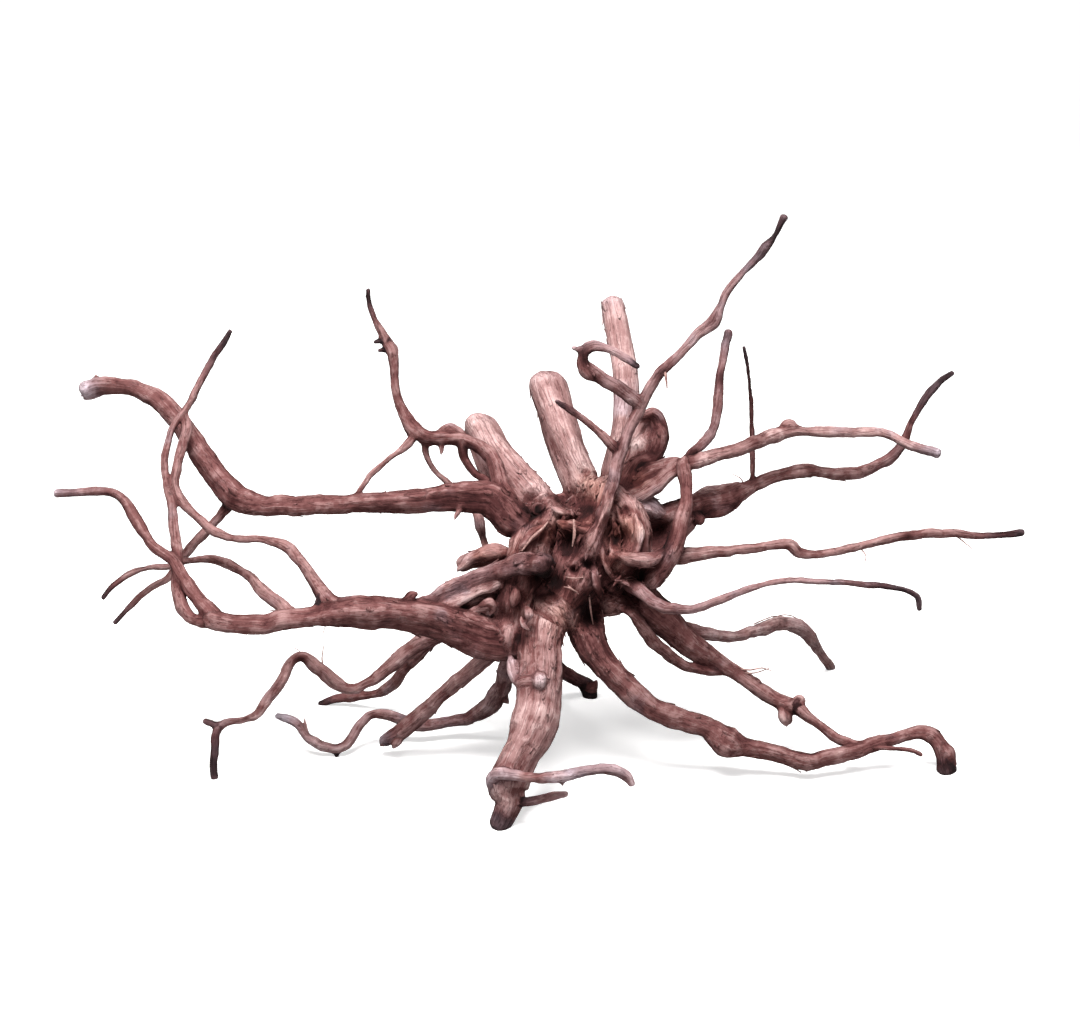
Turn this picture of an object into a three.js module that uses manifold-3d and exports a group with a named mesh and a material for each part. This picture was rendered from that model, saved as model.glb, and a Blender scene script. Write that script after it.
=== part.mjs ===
// Snake wood: the bare root crown of a shrub, with three sawn stems and many long, bent roots.
// It grew as one piece, and stands on the tips of its lowest roots.
// Millimetres, +Z up, with the front towards -Y. The origin lies on the surface it stands on,
// under the middle of the whole outline.
import * as THREE from "three";
import { mergeVertices } from "three/addons/utils/BufferGeometryUtils.js";
import Module from "manifold-3d";

// The roots are laid out as they look from in front: from VIEW_DISTANCE away, VIEW_RISE above the
// level, aimed at VIEW_AIM. Every point of a root is [across, up, nearer, radius]. across and up are
// measured from the middle of that view, in the upright plane through VIEW_AIM that faces the viewer,
// and nearer is how far the point stands in front of that plane.
const VIEW_DISTANCE = 1200;
const VIEW_RISE = THREE.MathUtils.degToRad(20);
const VIEW_AIM = new THREE.Vector3(-1.9, 2.3, 124.5);

// How finely the solid follows a root: the longest step along it, and its sides by its largest radius.
const STEP = 12;
const SIDES = [[9, 8], [4, 7], [3.1, 6], [0, 5]];

// A root's section is not round: low flutes and a slight flatness wind slowly along it.
const FLUTES = 3;
const FLUTE_DEPTH = 0.06;
const FLUTE_WIND = 1 / 17;
const FLAT_DEPTH = 0.07;
const FLAT_WIND = 1 / 29;

// A natural tip is rounded off by one smaller ring and a point, as shares of the radius there.
const TIP_RING = { ahead: 0.55, radius: 0.62 };
const TIP_POINT = 0.8;
// A sawn end is flat, with a small worn edge.
const SAWN_RING = { ahead: 0.09, radius: 0.9 };

// Any direction that no root runs along: the side of each root that its section is measured from.
const FIRST_SIDE = new THREE.Vector3(0.31, 0.42, 0.85);
// The block that cuts the feet flat reaches well past the roots.
const GROUND = { length: 800, width: 600, depth: 100 };

// The stems were sawn off, and lean away from the front.
const STEMS = {
  low_stem: [[4, -4.5, 0, 10.5], [-5, 6.5, -7, 11.5], [-15, 19, -19, 11.3], [-22.5, 29.5, -29, 10.5],
    [-28, 40, -39, 9.9], [-31.5, 46.5, -45, 9.2]],
  middle_stem: [[25, 0.5, 0, 10], [21.5, 14.5, -9, 9.5], [17, 25.5, -17, 9.3], [12.5, 37, -26, 9.5],
    [8, 50.5, -36, 9.8], [3, 68, -49, 9.8]],
  tall_stem: [[35, 5.5, -8, 7.5], [38, 25.5, -18, 7], [41, 40.5, -25, 6.5], [43, 58, -33, 6.5],
    [42.5, 73, -40, 6.2], [40, 88, -47, 5.9], [36, 108, -55, 5.5]],
};

// The body of the crown, where everything meets.
const CROWN = {
  core: [[10, -47, 12, 11], [16, -32, 12, 15], [22, -17, 8, 17], [27, -2, 2, 15], [30, 10, -4, 12]],
  back: [[12, -36, -8, 10], [18, -20, -13, 13], [26, -4, -14, 12], [32, 8, -12, 9]],
  left_shoulder: [[-17, -62, 20, 8], [-15, -47, 20, 8.5], [-11, -32, 20, 9], [-6, -18, 18, 9],
    [-2, -7, 12, 9], [3, 3, 4, 8]],
  middle: [[-2, -4, 4, 9], [4, -18, 5, 10], [6, -32, 5, 10], [4, -46, 7, 9]],
  right_back: [[36, -32, -4, 10], [50, -22, -8, 10], [62, -11, -11, 8], [72, -1, -13, 6.5]],
  right_lobe: [[36, -32, 12, 8], [44, -22, 13, 9], [47, -10, 13, 9], [44, 2, 10, 7], [38, 10, 6, 6]],
  rear_saddle: [[-8, 4, -5, 8], [6, 1.5, -8, 8], [20, 4, -10, 9]],
  under_saddle: [[22, -42, 4, 9], [34, -42, 2, 8], [43, -41, 0, 7]],
  grey_lump: [[44, 7, -2, 5], [53, 5, -5, 5.6], [59, 0, -8, 5]],
};

// Shoots and roots at the upper right, above the crown.
const UPPER_RIGHT = {
  tall_shoot: [[23, -22, 22, 5.5], [28.5, -8.5, 24, 3.8], [33.5, 5.5, 22, 3.4], [36.5, 17, 19, 3.1],
    [39.5, 30.5, 17, 3.4], [45, 43, 15, 3], [50.5, 55.5, 14, 2.9], [58, 69.5, 14, 2.6],
    [68.5, 80, 15, 2.3], [80, 92, 17, 2.3], [87, 97.5, 18, 2.9], [90, 104.5, 19, 2],
    [96, 115.5, 22, 2], [107.5, 128, 26, 1.9], [113, 134.5, 28, 2.8], [117, 139.5, 29, 1.6],
    [122, 149.5, 32, 2]],
  fork_twig: [[39.5, 32, 17, 2.8], [32.5, 39, 19, 2.3], [25, 45.5, 21, 1.8], [17.5, 51.5, 23, 1.5],
    [8, 57.5, 26, 1.2]],
  hook: [[50.5, 54.5, 14, 2.8], [44, 60, 17, 3.2], [37.5, 64.5, 19, 3.2], [31, 68.5, 21, 3.2],
    [25, 72.5, 23, 3.4], [21.5, 77, 24, 2.6], [23, 82.5, 24, 2.2], [28.5, 84.5, 24, 2.2],
    [35, 83, 25, 2], [42, 79.5, 26, 1.8], [49, 75, 28, 1.5]],
  hook_spur: [[25, 83.3, 24, 2], [16, 84, 24, 1]],
  curl: [[40, 10, -5, 5], [46, 21, -7, 4.5], [49, 26, -9, 4.2], [56, 29, -12, 4.3],
    [60, 36, -15, 4], [60, 45.5, -16, 3.8], [56, 51, -15, 3.3], [50.5, 49.5, -12, 2.2]],
  curl_heart: [[46, 23, -12, 5], [51, 33, -16, 6.3], [53, 43, -17, 5]],
  raised_stick: [[73, 27, 0, 2.8], [76.5, 32, -6, 2.5], [82.5, 37, -13, 2.6], [86.5, 43, -18, 2.5],
    [88.5, 53, -24, 2.5], [89.5, 62, -28, 2.2], [91, 75.5, -34, 2], [94, 92, -42, 2]],
  dark_twig: [[106, 15, -30, 1.8], [106.5, 23, -29, 1.3], [106, 38, -28, 1.3], [105.5, 58, -27, 1.2],
    [104, 73, -26, 1], [102, 84.5, -25, 0.9]],
  upright: [[55, -31, 12, 6], [62, -23.5, 15, 5], [66.5, -17, 16, 4.5], [70, -7, 15, 4.1],
    [72.5, 5.5, 11, 3.8], [73, 17, 6, 3.5], [72, 26, 2, 3.5]],
  pale_strand: [[72, 25.5, 1, 2.8], [66, 22, 0, 3.3], [57.5, 15.5, -1, 4], [49, 10.5, -1, 3.8],
    [41, 5.5, 0, 3.5]],
  upper_strand: [[46, 16, -7, 5], [58, 22.5, -6, 4.5], [69, 26.5, -2, 3.4]],
  upper_root: [[72, 25.5, 2, 3.4], [82.5, 29, -2, 3], [97.5, 33, -10, 3], [112.5, 39, -17, 3],
    [124, 42.5, -22, 3.6], [132.5, 42, -24, 2.5], [155, 42, -26, 2.4], [172.5, 41, -22, 2.5],
    [186, 35, -15, 3], [198.5, 31.5, -8, 2.8]],
  upper_root_knob: [[124, 42, -22, 2.4], [125, 45.5, -22, 1.6]],
  long_root: [[34, -6, -3, 8], [50, -3, -8, 6.5], [64, -0.5, -11, 6.2], [75, 4, -15, 6.3],
    [87.5, 7, -21, 5.8], [99, 11.5, -27, 5], [107.5, 15.5, -31, 3.7], [120, 20, -36, 3.3],
    [131.5, 22.5, -40, 3.7], [142.5, 21.5, -44, 3.2], [155, 21, -48, 3], [166, 24, -50, 2.8],
    [175, 29.5, -50, 2.7], [181.5, 36.5, -48, 2.3], [186, 47.5, -46, 1.8], [196.5, 64, -44, 2],
    [206.5, 71.5, -42, 1.5]],
  long_root_knot: [[75, 1, -12, 3.5], [80, -2.5, -8, 2.4]],
};

// Roots at the right: the lowest of them ends in the right foot.
const RIGHT = {
  right_root: [[50, -25, 10, 5], [66, -21, 8, 3.6], [82.5, -18.5, 4, 3.2], [100, -16.5, 0, 2.7],
    [117.5, -14.5, -4, 2.4], [125, -14.5, -5, 2.8], [130, -18.5, -6, 2.5], [150, -17.5, -8, 2.2],
    [170, -12.5, -12, 2.2], [185, -9.5, -16, 2.3], [202.5, -8.5, -20, 2], [222.5, -10, -24, 1.8],
    [231.5, -9.5, -26, 1.6], [241, -8, -28, 1.8]],
  slim_root: [[42.5, -32, 16, 4], [50, -38, 22, 3], [61.5, -45.5, 30, 2.6], [76, -46.5, 38, 2.7],
    [90, -42, 44, 2.4], [105, -36, 50, 1.9], [122.5, -32.5, 56, 1.8], [145, -33, 62, 1.6],
    [165, -34.5, 66, 1.5], [182.5, -37, 68, 1.4], [188.5, -40.5, 69, 1.5], [190, -46.5, 69, 1.3]],
  hooked_root: [[67.5, -56, -14, 4.5], [80, -58, -24, 3.3], [95, -60.5, -42, 2.5],
    [109, -57, -62, 2.7], [121.5, -54.5, -84, 3.4], [130, -56, -97, 3.8], [136, -62, -108, 2.8],
    [139.5, -67.5, -117, 2.3], [142.5, -72, -124, 2.2], [145.5, -76.5, -132, 2.2]],
  knotted_root: [[37.5, -34.5, 2, 9], [50, -42, -2, 8.7], [62.5, -52, -9, 8.2], [74, -63.5, -16, 6.7],
    [86, -71, -22, 4.8], [97.5, -78, -26, 4.1], [111, -88, -27, 3.9], [121.5, -93.5, -26, 4.1],
    [128.5, -95.5, -23, 3.5], [137.5, -103, -17, 2.6], [150, -111.5, -9, 2.5], [161, -115, -6, 2.2]],
  knotted_root_spur: [[123.5, -95, -25, 2.8], [124.5, -103, -25, 1.9]],
  knotted_root_knot: [[128, -96, -22, 3], [129, -93, -21, 2]],
  under_strand: [[41, -43.5, 8, 3.5], [50, -54, 6, 3], [57.5, -63, 0, 2.9], [66, -70, -8, 2.7],
    [75, -75.5, -15, 2.4], [83.5, -77.5, -20, 2.2], [91, -78, -24, 2.2]],
  low_root: [[18, -41, 8, 10], [21.5, -53, 9, 8.8], [29, -69.5, 8, 7.2], [42, -84, 6, 6.1],
    [57.5, -96.5, 3, 6.3], [72.5, -102.5, 1, 5.6], [84, -106, 0, 6], [93, -113, -1, 8.6],
    [102, -116, -2, 5], [117.5, -118.5, -1, 4.6], [132.5, -122.5, 0, 4.8], [145, -120.5, -2, 3.9],
    [160, -116.5, -6, 3.7], [175, -112, -9, 3], [191, -108, -10, 3.5], [198, -111.5, -10, 3.8],
    [201.5, -119, -10, 4.6], [203, -127, -10, 5.2]],
  low_root_strand: [[165, -115.5, -6, 1.8], [176, -116.2, -4, 1.3], [186, -117.2, -3, 1.3],
    [191, -119.5, -3, 1]],
  rear_stub: [[17.5, -37, -12, 7], [11.5, -49.5, -40, 5.5], [6.5, -63, -66, 4.2],
    [8, -75.5, -84, 3.2], [16.5, -81, -92, 3.1], [23.5, -84.5, -96, 3.7], [25.5, -90, -96, 3.8]],
};

// The thick leg that comes down in front, with its knob, toe and twig.
const FRONT = {
  front_leg: [[8, -37, 8, 12.5], [4, -48, 13, 12.5], [0.5, -62, 21, 11], [0, -77, 28, 10.6],
    [-1, -92, 34, 10.7], [-4.5, -106, 39, 10.5], [-9.5, -118, 43, 8.8], [-14.5, -127, 45, 9.3],
    [-17, -136, 46, 9.4], [-16, -143, 47, 6.8], [-18, -149, 47, 5.5], [-20, -153.5, 47, 5]],
  front_leg_knob: [[-2, -80, 31, 4.5], [0, -83, 43, 3.4]],
  toe_branch: [[-22.5, -136, 48, 3.6], [-24, -131.5, 51, 3.2], [-20.5, -128.5, 54.5, 3.1],
    [-13, -129.5, 57.5, 3.2], [-5, -131, 59, 3.2], [6.5, -130.5, 60, 3.1], [18.5, -128.5, 60, 2.8],
    [30, -126.5, 59, 2.8], [39, -127.5, 58, 2.9], [43.5, -130, 57, 2.8], [46, -134, 57, 2]],
  toe_twig: [[-14, -143, 47, 2.6], [-5, -142.5, 50, 2.2], [6, -140, 52, 2], [13, -139, 53, 1.4]],
};

// Roots and shoots at the left.
const LEFT = {
  left_root: [[2.5, -9.5, 10, 8.5], [-14, -2, 12, 8], [-25, 8, 12, 7.7], [-39, 9.5, 11, 7.2],
    [-55, 8.5, 10, 6.5], [-72.5, 7, 9, 5.9], [-95, 6, 8, 5.2], [-120, 5, 5, 5.4],
    [-139, 5.5, 1, 5.6], [-148, 8, -2, 6.4], [-156, 13.5, -5, 6.5], [-165, 24.5, -10, 5.9],
    [-177.5, 43, -17, 5.1], [-188.5, 55.5, -22, 4.5], [-199, 62.5, -26, 4], [-211, 65, -29, 3.9],
    [-220, 65, -31, 4.6], [-225.5, 62.5, -32, 5]],
  long_upright: [[-155, 92.5, -22, 1.1], [-159, 85.5, -20, 1.5], [-164, 78, -17, 1.8],
    [-169, 68.5, -13, 1.9], [-173.5, 60, -9, 2], [-178, 51.5, -5, 2.2], [-183, 45.5, -3, 1.8],
    [-186, 35.5, 0, 1.8], [-187.5, 27, 2, 1.9], [-186, 15.5, 5, 2.2], [-184, 5.5, 8, 2.3],
    [-182.5, -9.5, 13, 2.4], [-181, -22, 19, 2.6], [-181, -37, 27, 2.9], [-178, -47.5, 33, 3],
    [-171.5, -52, 36, 3.2], [-163, -52.5, 38, 3.8]],
  bowed_branch: [[-177.5, 51.5, -5, 1.9], [-176.5, 44.5, -3, 2.4], [-178.5, 35, 0, 2.2],
    [-181.5, 25, 3, 2], [-182.5, 15, 6, 2.1], [-179, 7, 8, 2.4], [-171.5, -0.5, 10, 2.3],
    [-162.5, -7.5, 13, 2.2], [-152.5, -11, 16, 2], [-139, -11.5, 20, 2.1], [-127.5, -15, 24, 2.9],
    [-119, -24, 28, 3.1], [-112.5, -33.5, 31, 4], [-105, -43.5, 35, 5], [-99, -47, 36, 5.5]],
  far_left_root: [[-241.5, 11.5, -6, 2], [-230, 12, -4, 2.1], [-220, 12.5, -2, 2.2],
    [-214, 12, 0, 1.9], [-209, 9, 3, 2.2], [-201.5, -2.5, 9, 2.8], [-194, -13.5, 15, 3],
    [-184, -22, 21, 3], [-177, -32.5, 27, 3.2], [-170, -43, 33, 4], [-163, -51, 38, 4.7]],
  slanted_twig: [[-155, 6.5, -6, 3.2], [-159, 1, -9, 2.3], [-166, -7, -13, 2.3],
    [-175, -16, -17, 2.3], [-181, -23.5, -19, 2], [-186, -31, -20, 1.6], [-195, -36.5, -20, 1.5],
    [-202.5, -42.5, -20, 1.5], [-212.5, -53.5, -19, 1.2]],
  crossing_twig: [[-121, -51, 37, 3.3], [-125, -49, 31, 3.2], [-131, -43.5, 24, 2.8], [-139, -36.5, 15, 2.8],
    [-147.5, -28.5, 7, 2.9], [-156, -24, 1, 2.6], [-165, -21.5, -3, 2.2], [-176, -22.5, -7, 1.8],
    [-185, -25, -9, 1.6], [-196, -26, -11, 1.5], [-205, -28.5, -12, 1.7], [-212.5, -34, -13, 1.6],
    [-218.5, -41, -14, 1.3]],
  broad_left_root: [[-2.5, -59.5, 14, 11], [-12.5, -60.5, 16, 10.8], [-25, -61, 19, 10.3],
    [-40, -56, 23, 9.5], [-55, -51.5, 27, 8.8], [-70, -49, 30, 8.1], [-87.5, -48, 33, 8.2],
    [-102.5, -48, 35, 7.8], [-112.5, -50, 37, 5.5], [-125, -51.5, 38, 4.8], [-139, -54, 38, 4.8],
    [-151, -54, 38, 4.6], [-163, -51.5, 38, 5]],
  broad_left_spur: [[-110, -47, 37, 3], [-111.5, -41.5, 38, 1.2]],
  horn: [[-86, 113, 4, 1.1], [-85.5, 105.5, 2, 1.3], [-82.5, 97.5, 0, 1.7], [-77.5, 89.5, -2, 2.5],
    [-74, 82, -3, 3.1], [-73, 74, -4, 2.4], [-72, 64, -5, 2.4], [-69.5, 54, -6, 3.2],
    [-64, 44, -6, 4.6], [-56, 39.5, -6, 4], [-45, 39, -7, 3.4], [-34, 36.5, -7, 3.1],
    [-25.5, 31, -4, 3.7], [-21, 23, 2, 3.6], [-18, 13, 7, 4], [-12, 1, 12, 5], [-8, -9.5, 14, 5.5]],
  horn_burl: [[-50, 41, -7, 2.2], [-45, 44, -9, 2.4], [-40, 41, -8, 2.4], [-38, 37, -7, 2.2]],
  horn_spur_high: [[-76, 88, -2, 1.8], [-82.5, 87, -2, 1]],
  horn_spur_low: [[-74.5, 83.5, -3, 1.8], [-80.5, 82.5, -3, 0.9]],
  horn_brace: [[-62, 41, -5, 2.3], [-70, 32.5, -2, 1.6], [-76, 28, 0, 1.6], [-84, 21.5, 3, 1.7],
    [-92.5, 8, 7, 1.5]],
  horn_root: [[-58, 39, -7, 2.2], [-56, 28, -10, 1.6], [-50, 20, -13, 1.6], [-40, 11.5, -14, 1.8],
    [-32, 3, -12, 2], [-29.5, -7, -6, 2], [-26, -18.5, 4, 2], [-25, -22, 8, 2]],
  dark_loop: [[-39, 37.5, -6, 2.4], [-37.5, 28, -9, 2.3], [-32, 21, -8, 2.3], [-20, 14, 2, 2.6]],
  blunt_stub: [[-38.5, -24.5, 10, 3.8], [-32.5, -22.5, 10, 4], [-20, -22, 10, 3.8],
    [-7.5, -22, 10, 4]],
  grey_root: [[0.5, -23.5, 37, 5.5], [-7.5, -24, 31, 5.2], [-17.5, -26.5, 27, 4.5],
    [-30, -30.5, 25, 4.1], [-41, -34.5, 24, 4.3], [-48.5, -38, 24, 3.6], [-55, -41, 24, 2],
    [-62.5, -42, 25, 1.6]],
  pale_root: [[-22, -33.5, 26, 3], [-35, -39.5, 26, 3], [-45, -44, 26, 3], [-54, -48, 26, 3]],
};

// Low roots at the left, three of which reach the surface.
const LOWER_LEFT = {
  left_foot_root: [[-162.5, -131.5, -3, 2.1], [-163, -124.5, -3, 2], [-162.5, -116, -4, 1.9],
    [-162, -108.5, -5, 2.2], [-158, -104, -7, 2.2], [-147.5, -101.5, -11, 1.9],
    [-141, -98.5, -14, 2.4], [-135, -90, -19, 2.6], [-128, -81, -24, 2.8], [-124, -72.5, -29, 2.5],
    [-119, -70, -31, 2.7], [-111, -76, -33, 3.2], [-103.5, -83, -35, 3.2], [-95, -86.5, -36, 2.5],
    [-84, -82.5, -36, 2.9], [-71, -72, -33, 3.5], [-60, -64, -29, 3.8], [-45, -57, -20, 4],
    [-25, -49.5, -10, 4.5], [-4, -41, 2, 6]],
  left_foot_flap: [[-160, -105.5, -6, 2], [-167.5, -102.5, -6, 1.4]],
  rear_left_root: [[-110, -94, -87, 1.6], [-103.5, -91.5, -85, 1.9], [-94, -90, -82, 2.5],
    [-84, -89, -77, 2.2], [-76, -86, -72, 3], [-68.5, -78, -62, 3], [-59, -67.5, -47, 3.2],
    [-50, -60, -34, 3.5], [-35, -51, -18, 4], [-17.5, -43, -7, 4.5],
    [-2, -36, 0, 6]],
  wavy_root: [[-131.5, -100, -30, 1.4], [-126, -101.5, -30, 1.9], [-121, -104.5, -29, 2.2],
    [-116, -111, -27, 2.2], [-109, -115, -26, 2.3], [-101, -116.5, -26, 2.5],
    [-95.5, -112.5, -28, 2.3], [-90.5, -105, -31, 2.3], [-85, -99.5, -33, 2.2],
    [-77.5, -99, -35, 2.7], [-68.5, -102, -38, 2.8], [-57.5, -105, -41, 3], [-44, -102.5, -43, 2.9],
    [-33.5, -100.5, -42, 3.6], [-26.5, -96, -39, 4.6], [-20, -87, -32, 4.7], [-16, -76, -22, 4],
    [-13, -64.5, -12, 4.2], [-5, -50, 2, 5]],
  wavy_root_spur: [[-101.5, -117, -26, 1.8], [-101.5, -120.5, -26, 1.2]],
  blunt_root: [[-77.5, -112.5, -25, 3.2], [-73.5, -110, -25, 4], [-66, -105, -23, 4.6],
    [-57.5, -97.5, -20, 4.4], [-48, -88, -16, 3.9], [-37.5, -79, -12, 3.9], [-27.5, -71.5, -8, 4.1],
    [-16, -63.5, -2, 4.5], [-4, -54, 8, 6]],
};

// Where a laid-out point is in space.
function place([across, up, nearer]) {
  const scale = 1 - nearer / VIEW_DISTANCE;
  const forward = new THREE.Vector3(0, -Math.cos(VIEW_RISE), Math.sin(VIEW_RISE));
  const upward = new THREE.Vector3(0, Math.sin(VIEW_RISE), Math.cos(VIEW_RISE));
  return new THREE.Vector3(across * scale, 0, 0)
    .addScaledVector(upward, up * scale)
    .addScaledVector(forward, nearer)
    .add(VIEW_AIM);
}

// Stations along the smooth curve through a root's points: where each is, which way the root runs
// there, its radius, and how far along the root it lies.
function stations(points) {
  const curve = new THREE.CatmullRomCurve3(points.map(place), false, "centripetal");
  const spans = points.length - 1;
  const found = [];
  let along = 0;
  for (let span = 0; span < spans; span += 1) {
    const gap = curve.points[span].distanceTo(curve.points[span + 1]);
    const cuts = Math.max(1, Math.round(gap / STEP));
    for (let cut = span === 0 ? 0 : 1; cut <= cuts; cut += 1) {
      const share = cut / cuts;
      const at = Math.min(1, (span + share) / spans);
      const nearer = THREE.MathUtils.lerp(points[span][2], points[span + 1][2], share);
      const seen = THREE.MathUtils.lerp(points[span][3], points[span + 1][3], share);
      found.push({
        centre: curve.getPoint(at),
        tangent: curve.getTangent(at),
        radius: seen * (1 - nearer / VIEW_DISTANCE),
        along: along + gap * share,
      });
    }
    along += gap;
  }
  return found;
}

// A direction across each station that never twists about the root from one station to the next.
function crossways(found) {
  const across = [];
  let last = FIRST_SIDE;
  for (const { tangent } of found) {
    const next = last.clone().addScaledVector(tangent, -last.dot(tangent)).normalize();
    across.push(next);
    last = next;
  }
  return across;
}

// One ring of the skin, a share of the radius wide and a share of the radius ahead of its station.
function ring(station, across, sides, { ahead, radius }) {
  const side = new THREE.Vector3().crossVectors(station.tangent, across);
  const points = [];
  for (let k = 0; k < sides; k += 1) {
    const turn = (2 * Math.PI * k) / sides;
    const flutes = FLUTE_DEPTH * Math.cos(FLUTES * turn + station.along * FLUTE_WIND);
    const flat = FLAT_DEPTH * Math.cos(2 * turn + station.along * FLAT_WIND);
    const reach = station.radius * radius * (1 + flutes + flat);
    points.push(station.centre.clone()
      .addScaledVector(station.tangent, station.radius * ahead)
      .addScaledVector(across, reach * Math.cos(turn))
      .addScaledVector(side, reach * Math.sin(turn)));
  }
  return points;
}

// A root that bends more sharply than its own radius would fold into itself, so it is refused.
function refuseFolds(name, rings, found) {
  for (let i = 1; i < found.length; i += 1) {
    rings[i].forEach((point, k) => {
      const step = point.clone().sub(rings[i - 1][k]);
      if (step.dot(found[i].tangent) <= 0 || step.dot(found[i - 1].tangent) <= 0) {
        throw new Error(`${name} folds near its station ${i}`);
      }
    });
  }
}

function sidesOf(points) {
  const widest = Math.max(...points.map((point) => point[3]));
  return SIDES.find(([least]) => widest >= least)[1];
}

// The rings of a root from end to end, with both ends rounded off or sawn flat.
function skin(name, points, sawn) {
  const sides = sidesOf(points);
  const found = stations(points);
  const across = crossways(found);
  const rings = found.map((station, i) => ring(station, across[i], sides, { ahead: 0, radius: 1 }));
  refuseFolds(name, rings, found);
  const last = found.length - 1;
  const finish = sawn ? SAWN_RING : TIP_RING;
  const mirrored = { ahead: -finish.ahead, radius: finish.radius };
  rings.unshift(ring(found[0], across[0], sides, mirrored));
  rings.push(ring(found[last], across[last], sides, finish));
  const beyond = sawn ? SAWN_RING.ahead : TIP_POINT;
  const poles = [
    found[0].centre.clone().addScaledVector(found[0].tangent, -found[0].radius * beyond),
    found[last].centre.clone().addScaledVector(found[last].tangent, found[last].radius * beyond),
  ];
  return { rings, poles, sides };
}

// The closed mesh of one root: bands of triangles between its rings, and a fan at each end.
function rootGeometry(name, points, sawn) {
  const { rings, poles, sides } = skin(name, points, sawn);
  const vertices = [...rings.flat(), ...poles];
  const top = rings.length - 1;
  const index = [];
  for (let k = 0; k < sides; k += 1) {
    const next = (k + 1) % sides;
    for (let i = 0; i < top; i += 1) {
      const low = i * sides;
      const high = low + sides;
      index.push(low + k, low + next, high + k);
      index.push(low + next, high + next, high + k);
    }
    index.push(vertices.length - 2, next, k);
    index.push(vertices.length - 1, top * sides + k, top * sides + next);
  }
  const geometry = new THREE.BufferGeometry().setFromPoints(vertices);
  geometry.setIndex(index);
  return geometry;
}

const wasm = await Module();
wasm.setup();

// A closed geometry as a solid that can be joined and cut.
function solidOf(geometry) {
  const bare = geometry.clone();
  bare.deleteAttribute("normal");
  bare.deleteAttribute("uv");
  const merged = mergeVertices(bare);
  return new wasm.Manifold(new wasm.Mesh({
    numProp: 3,
    vertProperties: new Float32Array(merged.attributes.position.array),
    triVerts: new Uint32Array(merged.index.array),
  }));
}

// The surface it stands on, as a block whose top is at height zero: what reaches into it is cut flat.
function ground() {
  const block = new THREE.BoxGeometry(GROUND.length, GROUND.width, GROUND.depth);
  block.translate(0, 0, -GROUND.depth / 2);
  return solidOf(block);
}

// All the roots grown together in one solid, with flat feet.
function wholeGeometry() {
  const groups = [CROWN, STEMS, UPPER_RIGHT, RIGHT, FRONT, LEFT, LOWER_LEFT];
  const solids = groups.flatMap((table) => Object.entries(table)
    .map(([name, points]) => solidOf(rootGeometry(name, points, table === STEMS))));
  const whole = solids.reduce((joined, solid) => joined.add(solid)).subtract(ground());
  const mesh = whole.getMesh();
  const geometry = new THREE.BufferGeometry();
  const corners = new Float32Array(mesh.vertProperties);
  geometry.setAttribute("position", new THREE.BufferAttribute(corners, 3));
  geometry.setIndex(new THREE.BufferAttribute(new Uint32Array(mesh.triVerts), 1));
  return geometry;
}

const wood = new THREE.MeshStandardMaterial({ color: 0x9c6660, roughness: 0.82, metalness: 0 });
const snakeWood = new THREE.Mesh(wholeGeometry(), wood);
snakeWood.name = "snake_wood";

const group = new THREE.Group();
group.add(snakeWood);

export default group;
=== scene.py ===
"""Snake wood: the bare crown of a shrub's roots, with three sawn stems and many long, bent roots.

The roots are laid out as they look from in front and grown together into one closed skin, which is
then fluted, knotted and grooved along its own grain. Millimetres are used until a mesh is finished.
"""
import math

import bpy
import numpy as np
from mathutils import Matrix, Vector


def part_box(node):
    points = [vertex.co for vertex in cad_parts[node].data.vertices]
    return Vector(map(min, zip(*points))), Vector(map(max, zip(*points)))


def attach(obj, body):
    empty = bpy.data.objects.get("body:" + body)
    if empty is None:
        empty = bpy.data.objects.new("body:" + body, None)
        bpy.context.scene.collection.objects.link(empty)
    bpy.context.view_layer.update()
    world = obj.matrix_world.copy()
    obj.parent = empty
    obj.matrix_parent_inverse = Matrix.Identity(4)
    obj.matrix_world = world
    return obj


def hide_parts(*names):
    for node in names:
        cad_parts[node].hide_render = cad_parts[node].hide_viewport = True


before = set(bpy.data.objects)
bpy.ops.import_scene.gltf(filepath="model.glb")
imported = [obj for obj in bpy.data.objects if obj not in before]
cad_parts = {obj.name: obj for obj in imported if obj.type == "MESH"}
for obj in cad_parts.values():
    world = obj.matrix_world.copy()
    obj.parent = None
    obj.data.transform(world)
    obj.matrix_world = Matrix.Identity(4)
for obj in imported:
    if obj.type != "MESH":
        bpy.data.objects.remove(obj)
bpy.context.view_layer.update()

# The view that the roots are laid out in, which is also the camera's.
VIEW_DISTANCE = 1200.0
VIEW_RISE = math.radians(20)
VIEW_AIM = np.array([-1.9, 2.3, 124.5])
RIGHTWARD = np.array([1.0, 0.0, 0.0])
UPWARD = np.array([0.0, math.sin(VIEW_RISE), math.cos(VIEW_RISE)])
TOWARD = np.array([0.0, -math.cos(VIEW_RISE), math.sin(VIEW_RISE)])
MM = 0.001


def add_camera():
    """The camera stands VIEW_DISTANCE from VIEW_AIM, VIEW_RISE above the level, and looks at it."""
    toward = Vector(TOWARD)
    lens = bpy.data.cameras.new("front_view")
    lens.sensor_width = 36
    lens.lens = 80
    lens.clip_start = 0.05
    lens.clip_end = 20
    camera = bpy.data.objects.new("front_view", lens)
    camera.location = (Vector(VIEW_AIM) + toward * VIEW_DISTANCE) * MM
    camera.rotation_euler = toward.to_track_quat("Z", "Y").to_euler()
    bpy.context.scene.collection.objects.link(camera)
    bpy.context.scene.camera = camera


add_camera()

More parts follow.
